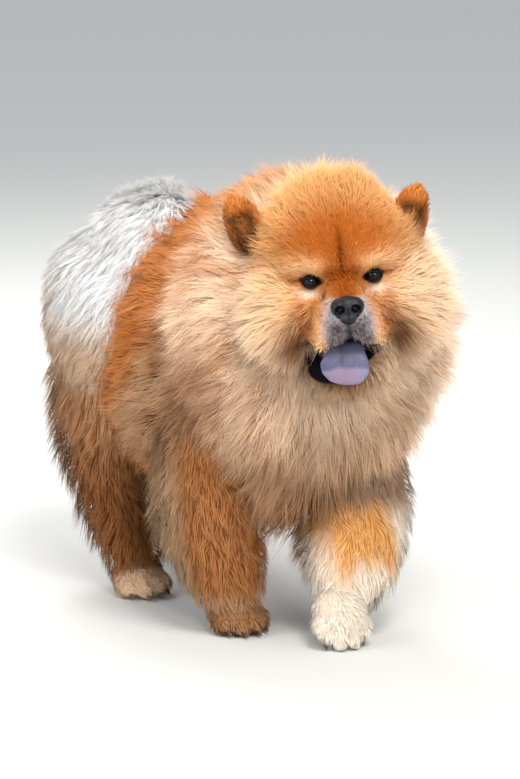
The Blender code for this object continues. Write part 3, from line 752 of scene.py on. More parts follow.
def muzzle_shares(x, y, z):
    """How grey the muzzle is at each point, and how dark that grey is."""
    aside = np.abs(x)
    half = np.interp(z, MUZZLE_HEIGHTS, MUZZLE_HALVES)
    grey = fade(-0.013, 0.005, aside - half) * fade(-0.034, -0.014, y) * fade(-0.024, -0.0165, z)
    dusk = spot(aside, z, 0.014, -0.058, 0.022, 0.015) + spot(aside, z, 0.028, -0.078, 0.016, 0.010)
    return grey, np.clip(dusk, 0, 1)


def head_colours(x, y, z, face):
    """The face's marks: brows, bridge, pale lower lids, cheeks and the grey muzzle, and painted shade in the
    furrow and in the creases beside the eyes.
    """
    aside = np.abs(x)
    front = fade(0.03, 0.11, y)
    cheek_line = spot(aside, z, 0.054, -0.046, 0.007, 0.026) * fade(-0.01, 0.03, y)
    bridge = bell(x, 0.024) * band(z, -0.030, -0.018, 0.006, 0.022) * front
    furrow = bell(x, 0.0036) * band(z, 0.000, 0.010, 0.045, 0.075) * front
    crease_shade = bell(z - 0.001 - (aside - 0.055) * 0.10, 0.0042) * band(aside, 0.052, 0.058, 0.066, 0.084)
    under_eye = spot(aside, z, EYE_SPACING / 2 + 0.003, -0.0155, 0.0125, 0.0062) * front
    flank = spot(aside, z, 0.050, -0.058, 0.011, 0.017) * fade(-0.02, 0.01, y)
    half = np.interp(z, MUZZLE_HEIGHTS, MUZZLE_HALVES)
    line = bell(aside - half - 0.011, 0.0045) * band(z, -0.066, -0.050, -0.018, -0.008) * fade(-0.02, 0.0, y)
    grey, dusk = muzzle_shares(x, y, z)
    philtrum = bell(x, 0.0017) * fade(-0.046, -0.042, z) * fade(-0.034, -0.014, y)
    # Painted shade beside the corners of the mouth, where the muzzle is not grey.
    mouth_shade = mouth_shade_share(x, y, z) * (1 - grey)
    return marked(face, (
        (spot(aside, z, 0.042, 0.0175, 0.019, 0.0095) * front, mix(GOLD, CREAM, 0.5), 1.15,
         mix(GOLD, PEACH, 0.2), 0.95),
        (cheek_line, mix(ORANGE, RUST, 0.6), 0.7, RUST, 0.9),
        (bridge, mix(RUST, ORANGE, 0.30), 0.9, RUST * 0.85, 1),
        (spot(aside, z, 0.014, 0.008, 0.009, 0.011) * front, mix(RUST, ORANGE, 0.25), 0.8, RUST * 0.6, 0.9),
        (spot(x, z, 0, 0.030, 0.020, 0.030) * front, mix(RUST, ORANGE, 0.35), 0.8, RUST * 0.8, 0.8),
        # Painted shade in the furrow.
        (furrow, RUST * 0.5, 0.9, RUST * 0.35, 0.9),
        # Painted shade in the creases beside the eyes.
        (crease_shade * front, mix(RUST, ORANGE, 0.2), 0.8, RUST * 0.6, 0.8),
        (under_eye, mix(PALE, CREAM, 0.4), 1.3, mix(CREAM, PEACH, 0.5), 1.2),
        (spot(aside, z, 0.052, -0.020, 0.005, 0.010) * front, mix(RUST, ORANGE, 0.5), 0.6, RUST, 0),
        (flank, mix(ORANGE, TAN, 0.45), 0.85, mix(BROWN, ORANGE, 0.4), 0.85),
        (line, mix(RUST, ORANGE, 0.3), 0.75, RUST * 0.7, 0.85),
        (grey, mix(SILVER_TIP, ASH_TIP, dusk), 0.92, mix(SILVER_ROOT, ASH_ROOT, dusk), 0.95),
        (philtrum, BLACK, 0.9, BLACK, 0.9),
        (mouth_shade, mix(BROWN, DARK, 0.4), 0.9, DARK * 0.6, 0.95),
    ))


def ear_colours(x, y, z):
    """An ear in its own measures: orange, gold at its edge and dark inside."""
    inside = fade(-0.008, 0.000, y) * fade(0.013, 0.021, np.abs(x)) * fade(0.004, 0.022, z)
    return marked((mix(ORANGE, BROWN, 0.25), mix(ORANGE, RUST, 0.5)), (
        (smooth(0.010, 0.030, z), mix(ORANGE, GOLD, 0.3), 1, RUST, 0),
        (inside, mix(DARK, BROWN, 0.4), 1, DARK * 0.6, 1),
    ))


def markings(points, weights):
    """Colours of the coat at its tips and at its roots, and how speckled it is with dark hairs."""
    x, y, z = points.T
    head = in_local(HEAD, points).T
    mane = mane_colours(x, z)
    face = face_colours(*head, mane)
    coats = body_colours(x, y, z, mane)
    coats["ruff"] = marked(face, ((rear_share(y, z), REAR_TIP, 1, REAR_ROOT, 1),))
    coats["head"] = head_colours(*head, face)
    # Painted shade under the tongue: the jaw's hair is painted tan and brown, and darkest at the chin.
    chin = spot(head[0] + 0.008, head[2], 0, -0.126, 0.052, 0.018)
    coats["jaw"] = marked((mix(CREAM, TAN, 0.5), mix(TAN, BROWN, 0.4)), ((chin, BROWN, 0.75, DARK, 0.8),))
    for side, word in SIDES:
        coats["ear_" + word] = ear_colours(*in_local(EAR_PLACE[side], points).T)
    tip = sum(coats[name][0] * weights[:, k, None] for k, name in enumerate(REGIONS))
    root = sum(coats[name][1] * weights[:, k, None] for k, name in enumerate(REGIONS))
    grey, dusk = muzzle_shares(*head)
    return tip, root, grey * (0.25 + 0.75 * dusk) * share_of(weights, "head")


def warmer_patches(skin, weights, tip, root):
    """Broad soft patches of warmer hair in the mane and on the body."""
    noise = np.random.default_rng(SEED + 1).normal(0, 1, (len(skin.points), 1))
    patchy = skin.soften(noise, 26)[:, 0]
    patchy = np.clip(patchy / patchy.std() * 0.5, 0, 1)
    patchy = patchy * (share_of(weights, "ruff") + share_of(weights, "torso"))
    tip = mix(tip, tip * mix(TAN, ORANGE, 0.3) / CREAM, patchy * 0.75)
    root = mix(root, root * mix(ORANGE, BROWN, 0.4) / PEACH, patchy * 0.8)
    return tip, root


EYE_HALF = 0.0160        # of the eye's bare opening
EYE_HIGH = 0.0094
EYE_POINT = 0.0026       # how much lower the opening is at its corners
NOSE_RIM = (0.0200, 0.014, 0.0150)


def bare(points):
    """Where the skin shows no hair: inside the mouth, the lower lip, the rims of the eyes and the nose."""
    head = in_local(HEAD, points)
    x, y, z = head.T
    out = np.zeros(len(points))
    for middle, reach in (MOUTH, LIP_SPLIT):
        inside = np.linalg.norm((head - np.array(middle)) / (np.array(reach) + 0.0028), axis=1)
        out = np.maximum(out, fade(0.98, 1.06, inside))
    across, down, wide, high = LOWER_LIP
    lip = fade(0.86, 1.04, np.hypot((x - across - (z - down) * 0.45) / wide, (z - down) / high))
    lip = lip * (z < -0.084 + 0.42 * np.maximum(0, np.abs(x) - 0.03)) * fade(0.022, 0.035, y)
    chin = smooth(0.012, 0.026, x) * fade(-0.104, -0.097, z)
    out = np.maximum(out, lip * (1 - chin))
    for side in (-1, 1):
        off = x - side * (EYE_SPACING / 2 - 0.0010)
        rise = z - 0.0008 - side * off * 0.10
        height = EYE_HIGH - EYE_POINT * np.minimum(1, np.abs(off) / EYE_HALF)
        out = np.maximum(out, fade(0.88, 1.08, np.hypot(off / EYE_HALF, rise / height)) * (y < 0.03))
    nose = np.linalg.norm((head - np.array(NOSE) - (0, 0.002, 0)) / NOSE_RIM, axis=1)
    return np.maximum(out, fade(0.95, 1.05, nose))


LENGTH, WIDTH, LIFT, SAG = range(4)
HAIR = {                 # length, width, lift from the skin and sag
    "torso": (0.048, 0.0009, 0.58, 0.18), "ruff": (0.062, 0.00074, 0.62, 0.14),
    "tail": (0.042, 0.0008, 0.45, 0.06), "plume": (0.046, 0.0008, 0.45, 0.10),
    "head": (0.012, 0.0009, 0.50, 0.05), "jaw": (0.034, 0.0008, 0.40, 0.55),
    **dict.fromkeys(("leg_front_right", "leg_front_left"), (0.030, 0.0009, 0.58, 0.14)),
    **dict.fromkeys(("leg_hind_right", "leg_hind_left"), (0.038, 0.0010, 0.56, 0.14)),
    **dict.fromkeys(("ear_right", "ear_left"), (0.012, 0.0007, 0.50, 0.0)),
    **dict.fromkeys(PAWS, (0.012, 0.0009, 0.42, 0.05)),
}


def face_measures(x, y, z):
    """The face's hair: short round the eyes, nose and lips, and longer towards the mane."""
    aside = np.abs(x)
    far = from_middle(x, z)
    rim = np.clip(smooth(0.062, 0.112, far) + smooth(0.02, 0.08, y), 0, 1)
    eyed = np.exp(-(np.hypot(aside - EYE_SPACING / 2, z + 0.004) / 0.024) ** 4)
    length = 0.010 + 0.010 * smooth(0.025, 0.060, far) + 0.038 * rim
    length *= 1 - 0.40 * fade(-0.034, -0.004, y)
    length *= 1 - 0.50 * eyed
    length *= 1 - 0.70 * fade(-0.026, -0.008, y) * fade(-0.052, -0.030, z)
    length *= 1 - 0.68 * spot(aside, z, 0.058, -0.072, 0.014, 0.014) * (y < 0.04)
    return np.stack([length, 0.00064 + 0.0002 * rim, 0.40 + 0.38 * rim, 0.05 + 0.07 * rim], -1)


def measures(points, weights, normals):
    """Length, width, lift from the skin and sag of the hair at each point, in metres and radians."""
    share = dict(zip(REGIONS, weights.T))
    y, z = points[:, 1], points[:, 2]
    head = in_local(HEAD, points)
    at_head = share["head"][:, None]
    out = sum(weights[:, k, None] * np.array(HAIR[name]) for k, name in enumerate(REGIONS))
    out = out * (1 - at_head) + face_measures(*head.T) * at_head
    for side in (-1, 1):
        ear = np.array((EAR_SHIFT + side * EAR_REACH * 0.82, EAR_BACK * 0.8, EAR_LIFT[side] + 0.012))
        near = bell(np.linalg.norm((head - ear) / (1, 1.5, 1), axis=1), 0.033)
        near = near * (1 - share["ear_right"] - share["ear_left"])
        out[:, LENGTH] *= 1 - 0.70 * near
        out[:, LIFT] *= 1 - 0.30 * near
    collar = fade(0.10, 0.17, from_middle(head[:, 0], head[:, 2])) * fade(0.10, 0.16, head[:, 1])
    out[:, LIFT] += 0.30 * share["ruff"] * collar
    bib = share["ruff"] * fade(0.28, 0.36, z) * fade(-0.20, -0.12, y)
    out[:, LENGTH] += 0.030 * bib
    out[:, SAG] += 0.20 * bib
    for name in LEGS:
        feather = share[name] * smooth(0.1, 0.6, normals[:, 1]) * smooth(0.07, 0.13, z)
        out[:, LENGTH] += 0.024 * feather
        out[:, LIFT] += 0.08 * feather
    chest = share["torso"] * fade(-0.15, -0.10, y) * fade(0.05, 0.10, np.abs(points[:, 0]))
    out[:, LENGTH] += chest * (0.020 + 0.025 * fade(0.22, 0.30, z))
    out[:, LIFT] += 0.20 * chest
    return out


def scatter(chance, skin, chosen, dense, count):
    """Roots spread over the chosen triangles: their triangle and barycentric place."""
    weight = skin.area[chosen] * dense[skin.tris[chosen]].mean(1)
    total = np.cumsum(weight)
    spots = (np.arange(count) + chance.random(count)) / count * total[-1]
    tri = chosen[np.minimum(np.searchsorted(total, spots), len(chosen) - 1)]
    a, b = chance.random(count), chance.random(count)
    flip = a + b > 1
    a[flip], b[flip] = 1 - a[flip], 1 - b[flip]
    return tri, np.stack([1 - a - b, a, b], -1)


def blended(skin, values, tri, share):
    return (values[skin.tris[tri]] * share.reshape(len(tri), 3, *([1] * (values.ndim - 1)))).sum(1)


# A tuft of hair: a spindle of five points and six faces
STRAND_SHADING = 0.22      # how much a tuft is shaded by its own roundness rather than by the skin's
SKY = 0.25                 # how much its shading leans to the light from above
BELLY = 0.42               # where along its length a tuft is thickest
FLATNESS = 0.6             # its thickness off the skin against its width
LOWEST = 0.0015            # above the floor
PATCH_SIZE = 0.003         # of its patch on the unwrap
PATCH = np.array([(0.5, 0), (0, 0.4), (0.5, 0.4), (1, 0.4), (0.5, 1)])
CORNERS = np.arange(3) * 2 * math.pi / 3 - math.pi / 2
SPINDLE = np.array([(0, 1, 2), (0, 2, 3), (0, 3, 1), (1, 4, 2), (2, 4, 3), (3, 4, 1)], np.int32)


def centre_lines(chance, root, out, lie, size, leader, pull):
    """Root, thickest place and tip of each tuft: it stands up, bends over, sags and is drawn to its lock."""
    count = len(root)
    length, lift, sag = size[:, LENGTH], size[:, LIFT], size[:, SAG]
    length = length * chance.uniform(0.74, 1.10, count) * chance.uniform(0.78, 1.14, count)[leader]
    stand = lift * chance.uniform(0.80, 1.20, count) * chance.uniform(0.72, 1.28, count)[leader]
    sway = chance.normal(0, 0.09, count) + chance.normal(0, 0.21, count)[leader]
    lie = unit(lie + np.cross(out, lie) * sway[:, None])
    side = np.cross(out, lie)
    bend = chance.normal(0, 0.10, count) + chance.normal(0, 0.35, count)[leader]
    shares = np.array((0, BELLY, 1))
    here = root - out * np.minimum(0.0015, length * 0.07)[:, None]
    lines = [here]
    for k in range(2):
        mid = (shares[k] + shares[k + 1]) / 2
        angle = stand * (1.75 - 1.5 * mid)
        run = lie * np.cos(angle)[:, None] + out * np.sin(angle)[:, None] + side * (bend * mid)[:, None]
        run[:, 2] -= sag * mid * 1.6
        here = here + unit(run) * (length * (shares[k + 1] - shares[k]))[:, None]
        lines.append(here)
    lines = np.stack(lines, 1)
    drawn = pull * shares[None, :, None] ** 1.3
    apart = (root - root[leader])[:, None, :]
    lines = lines * (1 - drawn) + (lines[leader] + apart * 0.25) * drawn
    lines[..., 2] = np.maximum(lines[..., 2], LOWEST)
    return lines


def tuft_colours(chance, tip, root, speckle, leader):
    """Colours of a tuft's five points, in a tone of its own and one of its lock; some locks are dark."""
    count = len(tip)
    tone = chance.normal(1, 0.05, count) * chance.normal(1, 0.07, count)[leader]
    warm = chance.normal(0, 0.03, count)
    dark = chance.random(count)[leader] < speckle * 0.50
    root[dark] *= 0.12
    tip[dark] *= 0.20
    levels = np.array((0, BELLY, BELLY, BELLY, 1))[None, :, None] ** 0.8
    colour = (root[:, None] * (1 - levels) + tip[:, None] * levels) * tone[:, None, None]
    colour[..., 0] *= 1 + warm[:, None] * 0.5
    colour[..., 2] *= 1 - warm[:, None]
    return colour.reshape(-1, 3)


def tufts(chance, skin, data, chosen, count, clump, pull, name, slot):
    """Tapered tufts of hair as one mesh: each a bent spindle with three sides and a point at both ends."""
    tri, share = scatter(chance, skin, chosen, data["dense"], count)
    root, out, broad, lie, size, tip_colour, root_colour, speckle = (
        blended(skin, values, tri, share) for values in (
            skin.points, skin.normals, data["broad"], data["lie"], data["size"], data["tip"], data["root"],
            data["speckle"]))
    out = unit(out)
    lie = unit(lie - out * (lie * out).sum(1, keepdims=True))
    heads = chance.choice(count, max(1, count // clump), replace=False)
    tree = tree_of(root, heads)
    leader = np.array([tree.find(p)[1] for p in root])
    lines = centre_lines(chance, root, out, lie, size, leader, pull)

    run = unit(lines[:, 2] - lines[:, 0])
    across = unit(np.cross(run, out))
    over = np.cross(across, run)
    half = (size[:, WIDTH] * chance.uniform(0.75, 1.25, count) / 2)[:, None]
    ring = [lines[:, 1] + across * half * math.cos(turn) + over * half * math.sin(turn) * FLATNESS
            for turn in CORNERS]
    points = np.stack([lines[:, 0], *ring, lines[:, 2]], 1).reshape(-1, 3) + MIDDLE
    faces = (SPINDLE[None] + (np.arange(count) * 5)[:, None, None]).reshape(-1, 3)
    colour = tuft_colours(chance, tip_colour, root_colour, speckle, leader)
    uv = (skin.uv[tri] * share[:, :, None]).sum(1)
    spread = (uv[:, None, :] + (PATCH[None] - 0.5) * PATCH_SIZE).reshape(-1, 2)
    shade = [over] + [across * math.cos(turn) + over * abs(math.sin(turn)) for turn in CORNERS] + [over]
    normals = unit(np.stack(shade, 1) * STRAND_SHADING + unit(broad)[:, None, :] * (1 - STRAND_SHADING)
                   + np.array((0, 0, SKY)))
    return make_mesh(name, points, faces, colour, spread, slot, normals.reshape(-1, 3))


def make_mesh(name, points, faces, colour, uv, slot, normals):
    """A mesh of triangles with its own colours, patches on the unwrap and normals, riding the root."""
    mesh = bpy.data.meshes.new(name)
    mesh.vertices.add(len(points))
    mesh.vertices.foreach_set("co", points.astype(np.float32).ravel())
    mesh.loops.add(faces.size)
    mesh.loops.foreach_set("vertex_index", faces.ravel())
    mesh.polygons.add(len(faces))
    mesh.polygons.foreach_set("loop_start", np.arange(len(faces), dtype=np.int32) * 3)
    mesh.polygons.foreach_set("use_smooth", np.full(len(faces), True))
    mesh.update(calc_edges=True)
    paint(mesh, colour)
    layer = mesh.uv_layers.new(name="OFBake")
    layer.uv.foreach_set("vector", np.clip(uv[faces.ravel()], 0.001, 0.999).astype(np.float32).ravel())
    mesh.normals_split_custom_set_from_vertices(normals.astype(np.float32))
    obj = linked(name, mesh)
    mesh.materials.append(MATERIALS[slot])
    ride(obj)
    return obj


def paint(mesh, colour):
    """Keeps a colour, or one for each point, as the mesh's own."""
    colour = np.clip(np.broadcast_to(colour, (len(mesh.vertices), 3)), 0.002, 0.97)
    layer = mesh.attributes.new("coat", "FLOAT_COLOR", "POINT")
    full = np.concatenate([colour, np.ones((len(colour), 1))], 1)
    layer.data.foreach_set("color", full.astype(np.float32).ravel())


def ride(obj):
    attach(obj, "root")


# Materials
def shader_of(name, colour=None, **sockets):
    """A plain shader in one colour or, where none is given, in the mesh's own colours."""
    material = bpy.data.materials.new(name)
    material.use_nodes = True
    nodes = material.node_tree.nodes
    shader = nodes["Principled BSDF"]
    for socket, value in sockets.items():
        shader.inputs[socket.replace("_", " ")].default_value = value
    if colour is None:
        tint = nodes.new("ShaderNodeAttribute")
        tint.attribute_name = "coat"
        material.node_tree.links.new(tint.outputs["Color"], shader.inputs["Base Color"])
    else:
        shader.inputs["Base Color"].default_value = (*colour, 1)
    return material


def bumpy(material, scale, strength, distance):
    """Gives a material a fine grain."""
    tree = material.node_tree
    noise = tree.nodes.new("ShaderNodeTexNoise")
    where = tree.nodes.new("ShaderNodeTexCoord")
    tree.links.new(where.outputs["Object"], noise.inputs["Vector"])
    noise.inputs["Scale"].default_value = scale
    noise.inputs["Detail"].default_value = 4.0
    bump = tree.nodes.new("ShaderNodeBump")
    bump.inputs["Strength"].default_value = strength
    bump.inputs["Distance"].default_value = distance
    tree.links.new(noise.outputs["Fac"], bump.inputs["Height"])
    tree.links.new(bump.outputs["Normal"], tree.nodes["Principled BSDF"].inputs["Normal"])
    return material


MATERIALS = {slot: shader_of(slot + "_hair", Roughness=0.7, Specular_IOR_Level=0.0)
             for slot in ("red_coat", "cream_coat", "white_coat", "dark_coat")}
MATERIALS["black_skin"] = bumpy(shader_of("black_leather", Roughness=0.36, Specular_IOR_Level=0.28),
                                scale=1400, strength=0.45, distance=0.0008)
MATERIALS["tongue"] = bumpy(shader_of("tongue_wet", Roughness=0.55, Specular_IOR_Level=0.35,
                                      Coat_Weight=0.06, Coat_Roughness=0.2),
                            scale=700, strength=0.6, distance=0.0010)
MATERIALS["eye"] = shader_of("eye_wet", Roughness=0.07, Specular_IOR_Level=0.32)
SKIN = bumpy(shader_of("skin_coat", Roughness=0.8, Specular_IOR_Level=0.0),
             scale=900, strength=0.5, distance=0.002)
LIDS = shader_of("lid_rims", Roughness=0.6, Specular_IOR_Level=0.15)


def named(obj, name, slot, material=None):
    """Moves a finished piece from the dog's measures to the model's frame and lets it ride."""
    obj.name = name
    obj.data.name = name
    obj.data.transform(Matrix.Translation(MIDDLE))
    obj.data.materials.clear()
    obj.data.materials.append(material or MATERIALS[slot])
    obj.data.shade_smooth()
    ride(obj)
    return obj


def local_of(obj, place=HEAD):
    points = read(obj.data, ("vertices", "co"), len(obj.data.vertices), 3).astype(float)
    return points, in_local(place, points)


def set_points(obj, points):
    obj.data.vertices.foreach_set("co", points.astype(np.float32).ravel())
    obj.data.update()


# The pieces of the face and the claws
IRIS = (15, 19)          # degrees off the gaze between which the pupil fades into the iris
EYE_RIM = (33, 38)       # and the iris into the dark rim


def eye_piece(side, word):
    """An eyeball, with its pupil and brown iris painted on it."""
    centre = np.array(eye_place(side, EYE_BACK))
    obj = blob(tuple(centre), [EYE_RADIUS] * 3, place=HEAD, rings=48)
    local = local_of(obj)[1]
    gaze = unit(np.array((-0.02 * side, -1.0, 0.0)))
    off = np.degrees(np.arccos(np.clip(unit(local - centre) @ gaze, -1, 1)))
    colour = mix(BLACK * 0.1, linear(40, 22, 12), smooth(*IRIS, off))
    paint(obj.data, mix(colour, BLACK * 0.3, smooth(*EYE_RIM, off)))
    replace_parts(named(obj, "eyeball_" + word, "eye"), "eye_" + word)


LID_POINTS = 64          # round the opening
LID_RINGS = 12           # from the opening's edge outwards
LID_THICKNESS = 0.0006
LID_TILT = 5             # degrees that the outer corner is raised


def lid_point(side, turn, share):
    """A point of the lids, seen from the eye's middle; the share grows from the opening outwards."""
    c, s = math.cos(turn), math.sin(turn)
    outer = side * c
    upper = s > 0
    wide = 55 + 24 * share
    high = (18 * (1 - 0.7 * outer) if upper else 14 * (1 + 0.15 * outer)) + 34 * share
    bend = (1 - share) * (0.35 + (0.30 * outer if upper else 0))
    h = math.radians(wide) * math.copysign(abs(c) ** (1 - bend * 0.4), c)
    v = math.radians(high) * math.copysign(abs(s) ** (1 + bend), s) + math.radians(LID_TILT * outer)
    thick = LID_THICKNESS + 0.0012 * math.sin(math.pi * min(1, share * 1.6)) + 0.0005 * max(0, s)
    angle = math.hypot(h, v)
    flat = math.sin(angle) / max(angle, 1e-6)
    return (EYE_RADIUS + thick) * np.array((h * flat, -math.cos(angle), v * flat))


def lid_piece(side, word):
    """Both lids of an eye: a shell round the eyeball with an opening pointed at its corners."""
    centre = np.array(eye_place(side, EYE_BACK))
    points, faces, colour = [], [], []
    for r in range(LID_RINGS):
        share = r / (LID_RINGS - 1)
        for k in range(LID_POINTS):
            points.append(centre + lid_point(side, 2 * math.pi * k / LID_POINTS, share))
            colour.append(mix(BLACK * 0.3, DARK, float(smooth(0.8, 1.0, share))))
    for r in range(LID_RINGS - 1):
        for k in range(LID_POINTS):
            a, b = r * LID_POINTS + k, r * LID_POINTS + (k + 1) % LID_POINTS
            faces.append((a, b, b + LID_POINTS, a + LID_POINTS))
    obj = object_from("lids", points, faces)
    obj.data.transform(HEAD)
    solid = obj.modifiers.new("thick", "SOLIDIFY")
    solid.thickness = LID_THICKNESS
    solid.offset = -1
    apply_modifiers(obj)
    paint(obj.data, np.array(colour + colour)[:len(obj.data.vertices)])
    named(obj, "lids_" + word, "black_skin", LIDS)


def on_nose(x, y, z):
    return NOSE + Vector((x, y, z))


NOSE_FORM = [            # the leather's middle, its two wings and its lower end
    (on_nose(0, 0.002, 0.003), (0.0180, 0.0135, 0.0138), 40),
    (on_nose(0.0092, 0.002, 0.0030), (0.0125, 0.0125, 0.0118), 30),
    (on_nose(-0.0092, 0.002, 0.0030), (0.0125, 0.0125, 0.0118), 30),
    (on_nose(0, 0.003, -0.010), (0.0115, 0.0110, 0.0105), 30),
]
NOSTRILS = [(on_nose(side * 0.0108, -0.0105, 0.0006), (0.0068, 0.0095, 0.0055), (0, side * 24, side * 14))
            for side in (-1, 1)]
SLITS = [(on_nose(side * 0.0168, -0.0070, -0.0042), (0.0056, 0.0050, 0.0022), (0, side * 18, side * 30))
         for side in (-1, 1)]
GROOVE = [(on_nose(0, -0.0125, -0.0115), (0.0011, 0.0050, 0.0135), (0, 0, 0))]
NOSE_HOLLOWS = NOSTRILS + SLITS + GROOVE


def nose_piece():
    """The nose's leather with its nostrils, their slits and the groove below, with painted shade inside them
    and a painted highlight below the nostrils.
    """
    parts = [blob(centre, radii, place=HEAD, rings=rings) for centre, radii, rings in NOSE_FORM]
    body = boolean(parts[0], parts[1:], "UNION")
    cutters = [blob(*hollow, place=HEAD) for hollow in NOSE_HOLLOWS]
    body = melt(boolean(body, cutters, "DIFFERENCE"), voxel=0.00065, rounds=2)
    points, local = local_of(body)
    # Painted shade: black inside the nostrils, their slits and the groove below.
    hollow = np.zeros(len(points))
    for centre, reach, turn in NOSE_HOLLOWS:
        off = np.linalg.norm(((local - np.array(centre)) @ np.array(turned(turn))) / np.array(reach), axis=1)
        hollow = np.maximum(hollow, fade(1.02, 1.18, off))
    # Painted highlight: a lighter grey band below the nostrils.
    low = bell(local[:, 2] - NOSE.z + 0.0085, 0.0030) * (np.abs(local[:, 0]) > 0.002)
    leather = mix(linear(22, 21, 27), linear(66, 66, 78), low * 0.6)
    paint(body.data, mix(leather, BLACK * 0.10, hollow))
    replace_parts(named(body, "nose_leather", "black_skin"), "nose")


def tongue_piece():
    """The tongue, blue above and pink at its hanging end, with a groove along its middle; painted shade
    darkens the groove and the top inside the mouth.
    """
    obj = form_object(TONGUE, place=HEAD, rings=90, sides=64)
    local = local_of(obj)[1]
    off = local[:, 0] + 0.0125 * fade(-0.075, 0.0, local[:, 1]) + 0.001
    hang = fade(-0.100, -0.082, local[:, 2])
    out = unit(np.stack([0 * off, -hang, 1 - hang * 0.9], -1))
    groove = bell(off, 0.0018) * 0.0014 + bell(off, 0.014) * 0.0016
    facing = smooth(0.0, 0.6, (out * unit(local - np.array((0, -0.02, -0.12)))).sum(1))
    local = local - out * (groove * facing)[:, None]
    set_points(obj, out_of_local(HEAD, local))

    across, height = np.abs(off), local[:, 2]
    veins = 0.5 + 0.5 * np.sin(off * 1500 + 0.8 * np.sin(height * 300))
    colour = mix(linear(86, 86, 112), linear(64, 62, 88), veins * 0.5)
    # Painted shade along the groove.
    colour = mix(colour, linear(44, 42, 60), bell(off, 0.0022) * 0.8)
    # Painted shade on the tongue's top inside the mouth.
    colour = mix(colour, linear(40, 38, 54), smooth(-0.094, -0.084, height) * 0.85)
    pink = mix(linear(140, 118, 142), linear(122, 124, 154), smooth(0.55, 0.95, across / 0.030))
    edge = height + 0.004 * across / 0.03 + 0.0007 * np.sin(off * 240)
    paint(obj.data, mix(colour, pink, fade(-0.107, -0.100, edge) * 0.9))
    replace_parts(named(obj, "tongue_blue", "tongue"), "tongue")


CLAW = (0.0022, 0.0078, 0.0030)
CLAW_TILT = 24


def claws_piece(name, place):
    """The four claws of a paw."""
    obj = gathered([
        blob((x, y - 0.0205, 0.0080), CLAW, (CLAW_TILT, 0, -x * TOE_SPREAD), place=place, rings=14)
        for x, y in TOES])
    points = local_of(obj)[0]
    points[:, 2] = np.maximum(points[:, 2], FLOOR_GAP)
    set_points(obj, points)
    paint(obj.data, linear(84, 70, 62))
    named(obj, "claws" + name[3:], "black_skin")


# Floor, light and camera
FLOOR_SIZE = 14.0
CAMERA_AZIMUTH = math.radians(-33)
CAMERA_HEIGHT = math.radians(12)
CAMERA_DISTANCE = 5.3
PIXELS_A_METRE = 745.0
FRAME_PIXELS = 779       # the frame's height
SENSOR = 36              # millimetres, the height that the frame takes on the sensor
AIM = Vector((-0.075, -0.17, 0))
AIM_PIXELS = (24, 240.5)         # the frame's middle, to the right of and above the aim
LAMPS = (                # name, right, raised, up the frame, towards the camera, size, power, tint
    ("key", 0.7, 2.7, 0, 1.9, 1.4, 98, (1.0, 0.97, 0.93)),
    ("fill", -2.4, 1.0, 0, 1.6, 2.4, 38, (0.96, 0.98, 1.0)),
    ("front", 0.9, 0, 0.5, 3.9, 0.8, 50, (1.0, 0.98, 0.96)),
    ("rim", -0.6, 2.4, 0, -2.0, 1.6, 54, (1.0, 0.98, 0.95)),
)


def stage():
    bpy.ops.mesh.primitive_plane_add(size=FLOOR_SIZE)
    floor = bpy.context.active_object
    floor.name = "floor"
    pale = shader_of("floor_pale", linear(214, 214, 210), Roughness=0.95, Specular_IOR_Level=0.1)
    floor.data.materials.append(pale)
    world = bpy.data.worlds.new("studio")
    world.use_nodes = True
    world.node_tree.nodes["Background"].inputs["Color"].default_value = (*linear(232, 236, 242), 1)
    world.node_tree.nodes["Background"].inputs["Strength"].default_value = 0.80
    bpy.context.scene.world = world
    bpy.context.scene.view_settings.view_transform = "Standard"

def camera():
    """The camera at the photo's viewing angle, and its aim and directions for the lamps."""
    a, e = CAMERA_AZIMUTH, CAMERA_HEIGHT
    back = Vector((math.sin(a) * math.cos(e), -math.cos(a) * math.cos(e), math.sin(e)))
    right = Vector((math.cos(a), math.sin(a), 0))
    up = back.cross(right)
    shift_right, shift_up = (pixels / PIXELS_A_METRE for pixels in AIM_PIXELS)
    target = AIM + Vector(MIDDLE) + right * shift_right + up * shift_up
    data = bpy.data.cameras.new("camera")
    data.lens = PIXELS_A_METRE * CAMERA_DISTANCE * SENSOR / FRAME_PIXELS
    data.clip_end = 60
    obj = linked("camera", data)
    turn = Matrix((right, up, back)).transposed().to_4x4()
    obj.matrix_world = Matrix.Translation(target + back * CAMERA_DISTANCE) @ turn
    bpy.context.scene.camera = obj
    return target, right, up, back


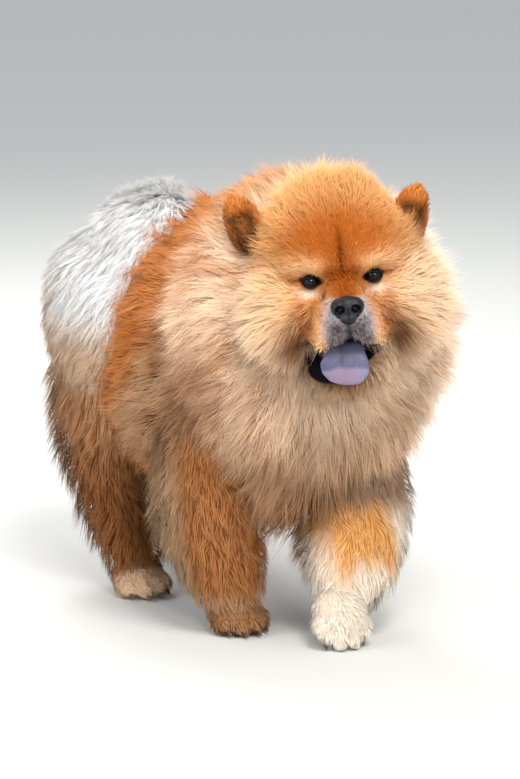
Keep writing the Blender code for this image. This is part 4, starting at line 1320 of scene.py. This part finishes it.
def lamps(target, right, up, back):
    for name, aside, raised, risen, nearer, size, power, tint in LAMPS:
        data = bpy.data.lights.new(name, "AREA")
        data.shape = "DISK"
        data.size = size
        data.energy = power
        data.color = tint
        where = target + right * aside + up * risen + Vector((0, 0, raised)) + back * nearer
        turn = (where - target).to_track_quat("Z", "Y").to_matrix().to_4x4()
        linked(name, data).matrix_world = Matrix.Translation(where) @ turn


PLAN = (   # name, regions, slot, tufts, tufts to a lock, pull, pieces
    ("face", ("head", "jaw"), "red_coat", 46000, 5, 0.35, 2),
    ("ears", ("ear_right", "ear_left"), "dark_coat", 8000, 5, 0.35, 1),
    ("ruff", ("ruff",), "cream_coat", 86000, 8, 0.50, 3),
    ("torso", ("torso",), "red_coat", 36000, 8, 0.50, 2),
    ("tail", ("tail", "plume"), "white_coat", 28000, 6, 0.35, 1),
    *((leg, (leg,), "cream_coat", 7000, 7, 0.45, 1) for leg in LEGS),
    ("paws", tuple(PAWS), "cream_coat", 12000, 6, 0.35, 1),
)


def coat(skin, region, data):
    """Every piece of the coat, in the plan's order."""
    chance = np.random.default_rng(SEED)
    tri_region = region[skin.tris[:, 0]]
    for name, places, slot, count, clump, pull, pieces in PLAN:
        chosen = np.nonzero(np.isin(tri_region, [REGIONS.index(place) for place in places]))[0]
        for k in range(pieces):
            label = "coat_" + name + ("_%d" % (k + 1) if pieces > 1 else "")
            tufts(chance, skin, data, chosen, count // pieces, clump, pull, label, slot)


view = camera()
lamps(*view)
stage()
skin_obj = skin_object()
unwrap(skin_obj)
skin = Skin(skin_obj)
region, weights, lie = field(skin)
tip, root, speckle = markings(skin.points, weights)
tip, root = warmer_patches(skin, weights, tip, root)
hairless = bare(skin.points)
paint(skin_obj.data, mix(root * 0.8, BLACK, hairless))
named(skin_obj, "skin", "red_coat", SKIN)
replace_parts(skin_obj, "head", "jaw", "ruff", "torso", "tail", "ear_right", "ear_left", *LEGS, *PAWS)
coat(skin, region, {
    "lie": lie, "size": measures(skin.points, weights, skin.normals), "tip": tip, "root": root,
    "dense": np.clip(1 - hairless, 0, 1), "speckle": speckle, "broad": skin.soften(skin.normals, 30)})
for side, word in SIDES:
    eye_piece(side, word)
    lid_piece(side, word)
nose_piece()
tongue_piece()
for name, place in PAWS.items():
    claws_piece(name, place)
